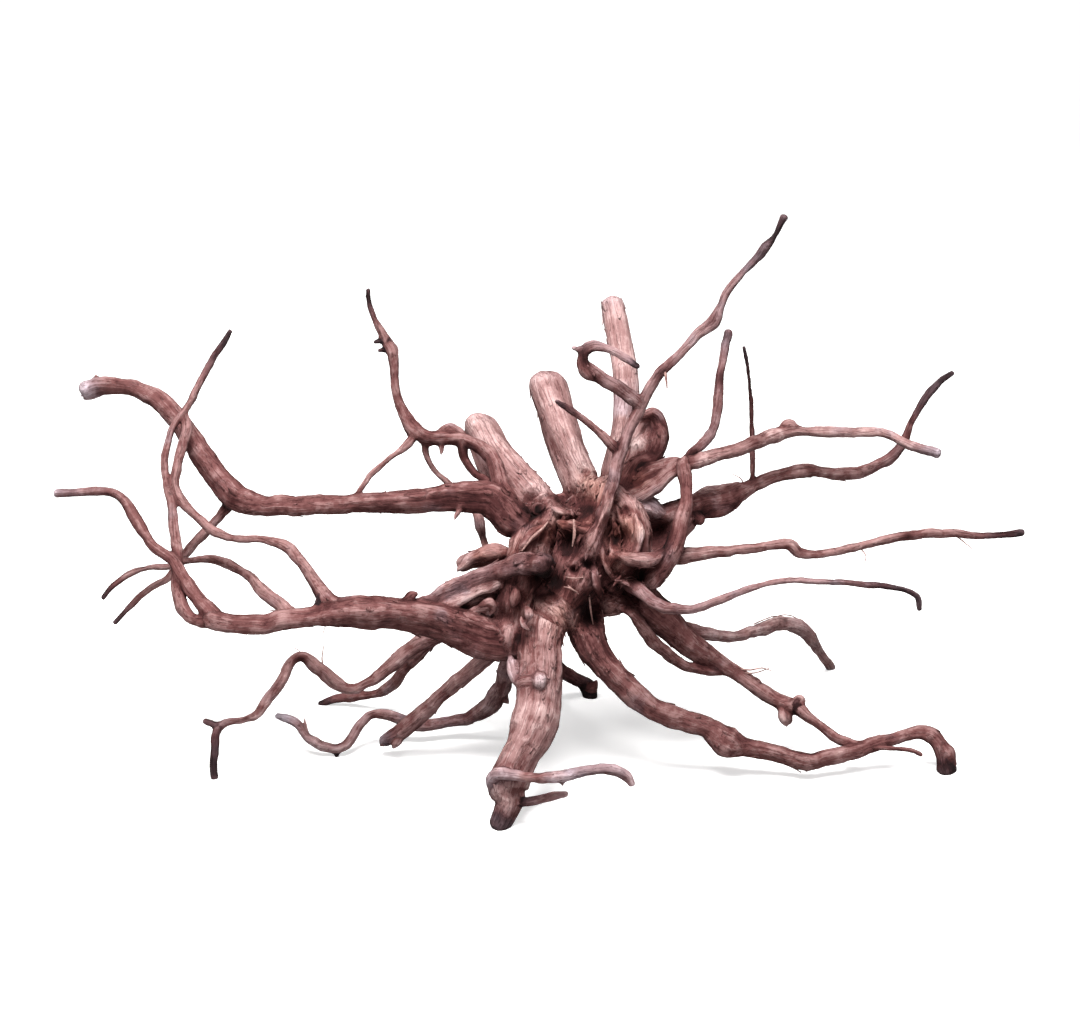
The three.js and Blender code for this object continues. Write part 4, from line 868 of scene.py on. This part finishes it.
# Loose fibres and root hairs, in view mm.
FIBRES = {
    "crossed": [(13, -30.5, 26.5, 0.25), (17, -31.2, 28, 0.45), (21.8, -30.6, 26.5, 0.25)],
    "crossing": [(12, -35.4, 26.5, 0.25), (15.5, -36.3, 28.5, 0.45), (19.2, -39, 25.5, 0.25)],
    "crossing_again": [(14, -34.6, 26.5, 0.2), (16.3, -36.9, 28.5, 0.35), (18.6, -37.8, 26.5, 0.2)],
    "knee_thread": [(24.5, -38, 18, 0.4), (25.2, -46, 17, 0.5), (26.5, -54, 12, 0.3)],
    "ridge_thread": [(-9, -17.5, 29, 0.4), (-4, -11, 29, 0.7), (1, -6.5, 27, 0.7), (4, -3, 23, 0.35)],
    "flake_thread": [(16.8, -2, 26, 0.5), (17.2, -9, 28.5, 0.8), (16.2, -15, 28, 0.35)],
    "right_hair": [(206, -8.5, -21, 0.4), (212, -13, -22, 0.32), (216, -16.5, -22, 0.18)],
    "under_hair": [(97.5, -76, -25, 0.45), (105, -77, -22, 0.4), (111, -76, -20, 0.35),
        (116, -77.5, -20, 0.2)],
    "under_twig": [(99, -78, -25, 0.4), (107, -78.5, -22, 0.35), (115, -76, -20, 0.2)],
    "foot_spike": [(-107, -79, -33, 0.5), (-109, -72, -33, 0.38), (-108, -64, -33, 0.2)],
    "shoot_spur": [(62, 74, 15, 0.9), (63, 69, 16, 0.6), (63.5, 64, 16, 0.3)],
    "right_root_hair": [(160, -16, -10, 0.35), (163, -20, -9, 0.28), (162, -24, -9, 0.15)],
    "lace_low": [(107, -54, -61, 0.35), (112, -51.8, -68, 0.3), (118, -50, -78, 0.28),
        (123, -51.5, -86, 0.22)],
    "lace_high": [(114, -53, -73, 0.35), (120, -49.7, -82, 0.3), (126, -50, -91, 0.28),
        (131, -53, -99, 0.22)],
    "broad_hair": [(-107, -54, 38, 0.3), (-108.5, -59, 39, 0.22), (-109, -64, 39, 0.12)],
    "stick_hair": [(103, 14, -29, 0.4), (100, 19, -29, 0.3), (96, 21, -29, 0.16)],
    "leg_hair": [(-14, -112, 50, 0.3), (-18, -116, 52, 0.22), (-20, -121, 52, 0.12)],
    "foot_hair": [(-116, -73, -31, 0.3), (-121, -67, -31, 0.2), (-127, -64, -31, 0.12)],
}
FIBRE_SIDES = 8

# Flakes of loose bark.
FLAKE_COUNT = 1500
FLAKE_LENGTHS = (2.5, 7.5)
FLAKE_WIDTHS = (0.5, 1.25)
FLAKE_LIFTS = (0.15, 0.95)
FLAKE_THICKNESS = 0.22
FLAKE_SEED = 7
FLAKE_ROWS = 5
FLAKE_COLUMNS = 3
FLAKE_SIDE = FLAKE_ROWS * FLAKE_COLUMNS


def flake_sheets(middle, out, grain, rng):
    """One side of every flake on a grid, u from 0 to 1 along it and v from -1 to 1 across: a place is
    the middle plus length (u - 0.4) along the grain, width v sin(pi (0.12 + 0.8 u)) across it, a little
    skewed, and lift u^2 + 0.35 v^2 width - 0.3 outwards."""
    count = len(middle)
    length, width, lift = [rng.uniform(*limits, count)[:, None, None]
                           for limits in (FLAKE_LENGTHS, FLAKE_WIDTHS, FLAKE_LIFTS)]
    u = np.linspace(0, 1, FLAKE_ROWS)[None, :, None]
    v = np.linspace(-1, 1, FLAKE_COLUMNS)[None, None, :]
    across = np.cross(out, grain)
    skew = rng.uniform(-0.25, 0.25, count)[:, None, None]
    far = length * (u - 0.4)
    wide = width * v * np.sin(math.pi * (0.12 + 0.8 * u)) + skew * far
    high = lift * u ** 2 + 0.35 * v ** 2 * width - 0.3 + 0 * v
    return (middle[:, None, None, :] + far[..., None] * grain[:, None, None, :]
            + wide[..., None] * across[:, None, None, :] + high[..., None] * out[:, None, None, :])


def flake_faces():
    """The triangles of one closed flake: FLAKE_SIDE points above, as many below, and a rim between."""
    grid = np.arange(FLAKE_SIDE).reshape(FLAKE_ROWS, FLAKE_COLUMNS)
    corners = grid[:-1, :-1], grid[1:, :-1], grid[:-1, 1:], grid[1:, 1:]
    a, b, c, d = [corner.ravel() for corner in corners]
    above = np.vstack([np.stack([a, b, c], 1), np.stack([b, d, c], 1)])
    rim = np.concatenate([grid[0, :-1], grid[:-1, -1], grid[-1, :0:-1], grid[:0:-1, 0]])
    after = np.roll(rim, -1)
    sides = np.vstack([np.stack([rim, after, rim + FLAKE_SIDE], 1),
                       np.stack([after, after + FLAKE_SIDE, rim + FLAKE_SIDE], 1)])
    return np.vstack([above, above[:, ::-1] + FLAKE_SIDE, sides])


def bark_flakes(points, marks, out, slopes, width, low, high):
    """Loose flakes of bark on the skin, each lifted at one end along the grain. A point's chance is
    (0.12 + 1.3 crown) times a step from 2.2 to 6 mm of radius, less on sawn faces and near tips, and
    none within 3 mm of the surface it stands on. Gives points, triangles and the marks below them."""
    rng = np.random.default_rng(FLAKE_SEED)
    chance = (0.12 + 1.3 * marks["crown"]) * step_between(2.2, 6.0, width) * (1 - marks["sawn"])
    chance = chance * np.clip(1 - 2.2 * marks["tip"], 0, 1) * (points[:, 2] > 3.0)
    chosen = rng.choice(len(points), FLAKE_COUNT, replace=False, p=chance / chance.sum())
    way = out[chosen]
    grain = slopes[chosen] * rng.choice([-1.0, 1.0], FLAKE_COUNT)[:, None]
    grain = grain - way * (grain * way).sum(1)[:, None]
    grain /= np.maximum(0.2, np.linalg.norm(grain, axis=1))[:, None]
    upper = flake_sheets(points[chosen], way, grain, rng).reshape(FLAKE_COUNT, FLAKE_SIDE, 3)
    lower = upper - way[:, None, :] * FLAKE_THICKNESS
    both = np.concatenate([upper, lower], 1).reshape(-1, 3)
    whole = 2 * FLAKE_SIDE
    faces = (flake_faces()[None] + (np.arange(FLAKE_COUNT) * whole)[:, None, None]).reshape(-1, 3)
    kept = {name: np.repeat(values[chosen], whole, axis=0) for name, values in marks.items()}
    kept["grain"] = kept["grain"] + (both - np.repeat(points[chosen], whole, axis=0)) * MM
    # A flake gets less of the painted hollow shade, and an even share of it.
    kept["hollow_shade"] = kept["hollow_shade"] * 0.4 + 0.22
    return np.clip(both, low, high), faces, kept


def fibre_parts():
    """Every fibre as a thin closed tube with tapering ends."""
    parts = [tube(grown(name, points, "fibre"), FIBRE_SIDES) for name, points in FIBRES.items()]
    return joined(parts)


# The wood's colours from its darkest tone to its palest, and those of a sawn face and of the fibres.
WOOD_STOPS = [(0.0, (0.021, 0.0055, 0.0058)), (0.2, (0.063, 0.0195, 0.0195)),
              (0.4, (0.132, 0.053, 0.051)), (0.6, (0.252, 0.14, 0.135)),
              (0.8, (0.425, 0.285, 0.276)), (1.0, (0.64, 0.49, 0.475))]
SAWN_STOPS = [(0.0, (0.2, 0.105, 0.085)), (0.6, (0.42, 0.26, 0.21)), (1.0, (0.5, 0.33, 0.27))]
FIBRE_STOPS = [(0.3, (0.1, 0.046, 0.04)), (0.5, (0.24, 0.13, 0.115)), (0.7, (0.42, 0.262, 0.232))]
# What the wood's colour is multiplied by, for each use. The tints for deep gaps and for the darker edge
# are painted shade; the others are the wood's own colour.
TINTS = {"warm heart": (1.1, 0.86, 0.68), "cool grey": (0.96, 0.97, 1.1),
         "painted gap shade": (0.2, 0.095, 0.09), "cracks": (0.3, 0.22, 0.22), "painted edge shade": (0.4, 0.3, 0.3)}
# The tone starts here, and each part of the grain and each mark adds its value times this much. The
# shaded patches and the hollows darken it as painted shade, paler patches lighten it as painted light,
# and the crown's -0.24 is painted shade over its middle; paled, darkened and tip are the wood's own
# tone.
TONE_START = -0.032
GRAIN_TONES = {"Streaks": 0.44, "Fibres": 0.38, "Blotches": 0.16, "Specks": 0.26, "Stretches": 0.36}
MARK_TONES = {"shaded": -0.42, "hollow_shade": -0.42, "paled": 0.3, "darkened": -0.35, "tip": -0.5,
              "crown": -0.24}
# What each part of the grain adds to the height, and how far the grain wanders, in metres.
HEIGHTS = {"Fibres": 0.35, "Streaks": 0.55, "Specks": 0.3, "Cracks": -0.35}
GRAIN_BEND = (0.0016, 0.0016, 0.004)
RING_WOBBLE = 0.0016
RING_PITCH = 7400.0


def node(tree, kind, label, links=(), **settings):
    """One node of a tree, with a label, settings and inputs: each link is (input, value or socket)."""
    made = tree.nodes.new(kind)
    made.label = label
    for name, value in settings.items():
        setattr(made, name, value)
    for socket, value in links:
        if isinstance(value, bpy.types.NodeSocket):
            tree.links.new(value, made.inputs[socket])
        else:
            made.inputs[socket].default_value = value
    return made


def maths(tree, label, operation, *values, clamp=False):
    """A Math node's answer; the values are its inputs in their order."""
    return node(tree, "ShaderNodeMath", label, enumerate(values), operation=operation,
                use_clamp=clamp).outputs[0]


def weighed(tree, label, start, parts):
    """The start plus each part's value times its strength, one after another."""
    total = start
    for name, value, strength in parts:
        total = maths(tree, f"{name} {label}", "MULTIPLY_ADD", value, strength, total)
    return total


def mixed(tree, label, share, first, second, blend="MIX"):
    """Two colours mixed by a share; blend says how."""
    return node(tree, "ShaderNodeMix", label, [(0, share), (6, first), (7, second)],
                data_type="RGBA", blend_type=blend).outputs[2]


def tinted(tree, use, share, colour):
    """A colour multiplied by the tint of this use, by a share."""
    return mixed(tree, use, share, colour, (*TINTS[use], 1), "MULTIPLY")


def ramp(tree, label, value, stops):
    """A colour ramp with stops of (place, colour)."""
    made = node(tree, "ShaderNodeValToRGB", label, [(0, value)])
    made.color_ramp.interpolation = "EASE"
    while len(made.color_ramp.elements) < len(stops):
        made.color_ramp.elements.new(0.5)
    for element, (place, colour) in zip(made.color_ramp.elements, stops):
        element.position = place
        element.color = (*colour, 1)
    return made.outputs["Color"]


def shares(tree, label, value, low, high):
    """A value carried smoothly to 0 at low and 1 at high."""
    return node(tree, "ShaderNodeMapRange", label,
                [("Value", value), ("From Min", low), ("From Max", high)],
                interpolation_type="SMOOTHSTEP").outputs["Result"]


def noise_at(tree, label, place, scale, detail, roughness=0.5, twist=0.0, part="Fac"):
    """Noise at a place, as a value or a colour."""
    return node(tree, "ShaderNodeTexNoise", label,
                [("Vector", place), ("Scale", scale), ("Detail", detail), ("Roughness", roughness),
                 ("Distortion", twist)]).outputs[part]


def stretched_noise(tree, label, grain, scale, detail, roughness, twist=0.0):
    """Noise on the grain's coordinates, scaled apart across and along it."""
    spaced = node(tree, "ShaderNodeVectorMath", label, [(0, grain), (1, scale)], operation="MULTIPLY")
    return noise_at(tree, label, spaced.outputs[0], 1.0, detail, roughness, twist)


def grain_group():
    """Wood grain as a group: takes the grain's coordinates and a place, bends the grain a little, and
    gives streaks, fibres, cracks, slow stretches, blotches, specks and a height. Cracks are where a
    stretched noise is close to 0.5. The height is the others, each times its strength."""
    tree = bpy.data.node_groups.new("wood_grain", "ShaderNodeTree")
    for name in ("Grain", "Place"):
        tree.interface.new_socket(name, in_out="INPUT", socket_type="NodeSocketVector")
    given = tree.nodes.new("NodeGroupInput")
    place = given.outputs["Place"]
    wander = noise_at(tree, "wander", place, 90.0, 2.0, part="Color")
    grain = node(tree, "ShaderNodeVectorMath", "bent grain",
                 [(0, wander), (1, GRAIN_BEND), (2, given.outputs["Grain"])],
                 operation="MULTIPLY_ADD").outputs[0]
    lines = stretched_noise(tree, "crack lines", grain, (420, 420, 26), 3.0, 0.55, 0.6)
    off = maths(tree, "off the line", "ABSOLUTE", maths(tree, "line", "SUBTRACT", lines, 0.5))
    parts = {
        "Streaks": stretched_noise(tree, "streaks", grain, (620, 620, 34), 5.0, 0.62, 0.3),
        "Fibres": stretched_noise(tree, "fibres", grain, (1900, 1900, 120), 4.0, 0.62),
        "Cracks": maths(tree, "cracks", "SUBTRACT", 1.0,
                        shares(tree, "crack width", off, 0.004, 0.022)),
        "Stretches": stretched_noise(tree, "stretches", grain, (9, 9, 48), 3.0, 0.6),
        "Blotches": noise_at(tree, "blotches", place, 55.0, 5.0, 0.6),
        "Specks": noise_at(tree, "specks", place, 620.0, 4.0, 0.65),
    }
    parts["Height"] = weighed(tree, "height", 0.0,
                              [(name, parts[name], strength) for name, strength in HEIGHTS.items()])
    for name in parts:
        tree.interface.new_socket(name, in_out="OUTPUT", socket_type="NodeSocketFloat")
    out = tree.nodes.new("NodeGroupOutput")
    for name, value in parts.items():
        tree.links.new(value, out.inputs[name])
    return tree


def mark(tree, name, part="Fac"):
    """A mark stored on the mesh's points."""
    return node(tree, "ShaderNodeAttribute", name, attribute_name=name,
                attribute_type="GEOMETRY").outputs[part]


def new_material(name):
    """An empty material, its tree and its surface."""
    material = bpy.data.materials.new(name)
    material.use_nodes = True
    return material, material.node_tree, material.node_tree.nodes["Principled BSDF"]


def finish_surface(tree, surface, colour, height, strength, depth):
    """Joins the colour and the height, as fine relief of this depth in metres, to the surface."""
    bump = node(tree, "ShaderNodeBump", "grain relief",
                [("Strength", strength), ("Distance", depth), ("Height", height)])
    tree.links.new(colour, surface.inputs["Base Color"])
    tree.links.new(bump.outputs[0], surface.inputs["Normal"])


def bark_material(grain):
    """Dry reddish wood: the grain and the marks set its tone, and the tone its colour. The crown has
    warm blotches and painted shade over its middle, weathered roots and dry tips turn grey, hollows and
    gaps get painted shade, cracks are darker, a sawn face has rings, and all of it darkens towards its
    edge by 0.75 facing^2.2, a painted shade that rounds each root."""
    material, tree, surface = new_material("dry_reddish_wood")
    place = node(tree, "ShaderNodeTexCoord", "place").outputs["Object"]
    parts = node(tree, "ShaderNodeGroup", "wood grain",
                 [("Grain", mark(tree, "grain", "Vector")), ("Place", place)], node_tree=grain).outputs
    tone = weighed(tree, "tone", TONE_START,
                   [(name, parts[name], strength) for name, strength in GRAIN_TONES.items()]
                   + [(name, mark(tree, name), strength) for name, strength in MARK_TONES.items()])
    colour = ramp(tree, "wood colours", tone, WOOD_STOPS)
    warm = maths(tree, "warm blotches in the crown", "MULTIPLY", mark(tree, "crown"),
                 shares(tree, "warm blotches", parts["Blotches"], 0.5, 0.7))
    warm = maths(tree, "all warm", "ADD", maths(tree, "warm share", "MULTIPLY", warm, 0.4),
                 maths(tree, "warm patches", "MULTIPLY", mark(tree, "warmed"), 0.9), clamp=True)
    colour = tinted(tree, "warm heart", warm, colour)
    dry = maths(tree, "dry roots and tips", "ADD", mark(tree, "greyed"),
                maths(tree, "dry tips", "MULTIPLY", mark(tree, "tip"), 1.1), clamp=True)
    grey = maths(tree, "greyed patches", "MULTIPLY", dry,
                 shares(tree, "grey blotches", parts["Blotches"], 0.3, 0.6))
    spots = shares(tree, "spots", noise_at(tree, "weathered spots", place, 38.0, 3.0, 0.55), 0.58, 0.72)
    grey = maths(tree, "all grey", "ADD", grey, maths(tree, "spot share", "MULTIPLY", spots, 0.5),
                 clamp=True)
    faded = node(tree, "ShaderNodeHueSaturation", "faded",
                 [("Saturation", 0.55), ("Value", 1.0), ("Color", colour)]).outputs["Color"]
    colour = mixed(tree, "weathered", grey, colour, tinted(tree, "cool grey", 1.0, faded))
    # Painted shade: the shaded patches, more so in hollows, darken the colour towards a near black red.
    sunk = maths(tree, "painted gap shade share", "MULTIPLY", mark(tree, "shaded"),
                 maths(tree, "more in hollows", "ADD", mark(tree, "hollow_shade"), 0.35), clamp=True)
    colour = tinted(tree, "painted gap shade", sunk, colour)
    cracked = maths(tree, "crack share", "MULTIPLY", parts["Cracks"], 0.6)
    colour = tinted(tree, "cracks", cracked, colour)
    wobble = maths(tree, "ring wobble", "MULTIPLY", parts["Blotches"], RING_WOBBLE)
    radius = maths(tree, "ring radius", "ADD", mark(tree, "ring"), wobble)
    rings = maths(tree, "growth rings", "SINE",
                  maths(tree, "ring pitch", "MULTIPLY", radius, RING_PITCH))
    cut = ramp(tree, "sawn wood", shares(tree, "ring shade", rings, -1.6, 1.4), SAWN_STOPS)
    colour = mixed(tree, "sawn face", mark(tree, "sawn"), colour, cut)
    # Painted shade: the colour darkens towards each root's edge as it turns from view, as a rounded
    # form would shade.
    facing = node(tree, "ShaderNodeLayerWeight", "towards the edge", [("Blend", 0.4)]).outputs["Facing"]
    falloff = maths(tree, "edge falloff", "POWER", facing, 2.2)
    edge = maths(tree, "painted edge shade share", "MULTIPLY", falloff, 0.75, clamp=True)
    colour = tinted(tree, "painted edge shade", edge, colour)
    surface.inputs["Roughness"].default_value = 0.82
    surface.inputs["Specular IOR Level"].default_value = 0.12
    finish_surface(tree, surface, colour, parts["Height"], 0.9, 0.0007)
    return material


def fibre_material(grain):
    """Pale dry fibre: the grain's specks run from a brown to a straw pink."""
    material, tree, surface = new_material("pale_dry_fibre")
    place = node(tree, "ShaderNodeTexCoord", "place").outputs["Object"]
    parts = node(tree, "ShaderNodeGroup", "wood grain", [("Grain", place), ("Place", place)],
                 node_tree=grain).outputs
    surface.inputs["Roughness"].default_value = 0.8
    finish_surface(tree, surface, ramp(tree, "fibre colours", parts["Specks"], FIBRE_STOPS),
                   parts["Height"], 0.5, 0.0003)
    return material


# The sweep in metres: its curve, its front edge, the wall's top and half its width; then the light.
CURVE_RADIUS = 0.8
CURVE_START = 1.6
SWEEP_FRONT = -14.0
WALL_TOP = 4.0
HALF_WIDTH = 12.0
PAPER_GLOW = 0.56
ROOM_LIGHT = 0.14
# Lamps as (name, place, size, power, colour), all facing LAMP_AIM.
LAMPS = [("soft_top", (-0.15, -0.35, 1.5), 0.8, 60, (1.0, 0.98, 0.97)),
         ("soft_front", (0.5, -1.8, 0.9), 1.0, 10, (1.0, 0.97, 0.96))]
LAMP_AIM = Vector((0, 0, 0.1))


def backdrop():
    """A pale sweep: level under the wood, then a quarter circle up to a wall behind. The camera sees it
    glow, and light that bounces off it finds it duller."""
    turn = np.linspace(0, math.pi / 2, 17)
    back = np.concatenate([[SWEEP_FRONT], CURVE_START + CURVE_RADIUS * np.sin(turn),
                           [CURVE_START + CURVE_RADIUS]])
    rise = np.concatenate([[0.0], CURVE_RADIUS - CURVE_RADIUS * np.cos(turn), [WALL_TOP]])
    points = np.array([(x, y, z) for y, z in zip(back, rise) for x in (-HALF_WIDTH, HALF_WIDTH)])
    low = np.arange(len(back) - 1) * 2
    faces = np.vstack([np.stack([low, low + 1, low + 2], 1), np.stack([low + 1, low + 3, low + 2], 1)])
    sweep = bpy.data.objects.new("pale_sweep", mesh_of("pale_sweep", points, faces))
    bpy.context.scene.collection.objects.link(sweep)
    paper, tree, seen = new_material("pale_paper")
    seen.inputs["Base Color"].default_value = (0.8, 0.8, 0.8, 1)
    seen.inputs["Roughness"].default_value = 0.9
    seen.inputs["Emission Color"].default_value = (1, 1, 1, 1)
    seen.inputs["Emission Strength"].default_value = PAPER_GLOW
    dull = node(tree, "ShaderNodeBsdfDiffuse", "for bounced light", [("Color", (0.3, 0.29, 0.29, 1))])
    eye = node(tree, "ShaderNodeLightPath", "seen by the camera").outputs["Is Camera Ray"]
    both = node(tree, "ShaderNodeMixShader", "seen or bounced",
                [(0, eye), (1, dull.outputs[0]), (2, seen.outputs[0])])
    tree.links.new(both.outputs[0], tree.nodes["Material Output"].inputs["Surface"])
    sweep.data.materials.append(paper)


def lamp(name, place, size, power, colour):
    """A square soft lamp at a place, facing LAMP_AIM."""
    light = bpy.data.lights.new(name, "AREA")
    light.energy, light.size, light.color = power, size, colour
    holder = bpy.data.objects.new(name, light)
    holder.location = place
    holder.rotation_euler = (Vector(place) - LAMP_AIM).to_track_quat("Z", "Y").to_euler()
    bpy.context.scene.collection.objects.link(holder)


def studio():
    """Soft light from above and a little in front, a weak one from the front right, and a dim room."""
    backdrop()
    for row in LAMPS:
        lamp(*row)
    room = bpy.data.worlds.new("white_room")
    room.use_nodes = True
    air = room.node_tree.nodes["Background"]
    air.inputs["Color"].default_value = (1, 1, 1, 1)
    air.inputs["Strength"].default_value = ROOM_LIGHT
    scene = bpy.context.scene
    scene.world = room
    scene.view_settings.view_transform = "Standard"


def all_roots():
    """Every root and strand of the tables, grown."""
    kinds = [(CROWN, "crown"), (STEMS, "stem"), (UPPER_RIGHT, "root"), (RIGHT, "root"), (FRONT, "root"),
             (LEFT, "root"), (LOWER_LEFT, "root"), (STRANDS, "strand")]
    return [grown(name, points, kind) for table, kind in kinds for name, points in table.items()]


def piece(name, points, faces, material, marks=None):
    """A finished piece: its mesh in metres with its marks and material, riding on the body root."""
    made = bpy.data.objects.new(name, mesh_of(name, points * MM, faces))
    bpy.context.scene.collection.objects.link(made)
    made.data.materials.append(material)
    add_marks(made.data, marks or {})
    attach(made, "root")
    return made


def build_wood():
    """The grown wood with its loose flakes and fibres."""
    grain = grain_group()
    bark = bark_material(grain)
    roots = all_roots()
    box_low, box_high = [np.array(corner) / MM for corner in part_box("snake_wood")]
    low, high = box_low + np.array([BOX_MARGIN, BOX_MARGIN, 0.0]), box_high - BOX_MARGIN
    points, faces = whole_skin(roots, low, high)
    marks, out, slopes, width = wood_marks(points, faces, roots)
    wood = piece("grown_wood", points, faces, bark, marks)
    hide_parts("snake_wood")
    flakes, flake_corners, flake_marks = bark_flakes(points, marks, out, slopes, width, low, high)
    piece("bark_flakes", flakes, flake_corners, bark, flake_marks)
    fibres, fibre_corners = fibre_parts()
    piece("loose_fibres", np.clip(fibres, low, high), fibre_corners, fibre_material(grain))


build_wood()
studio()
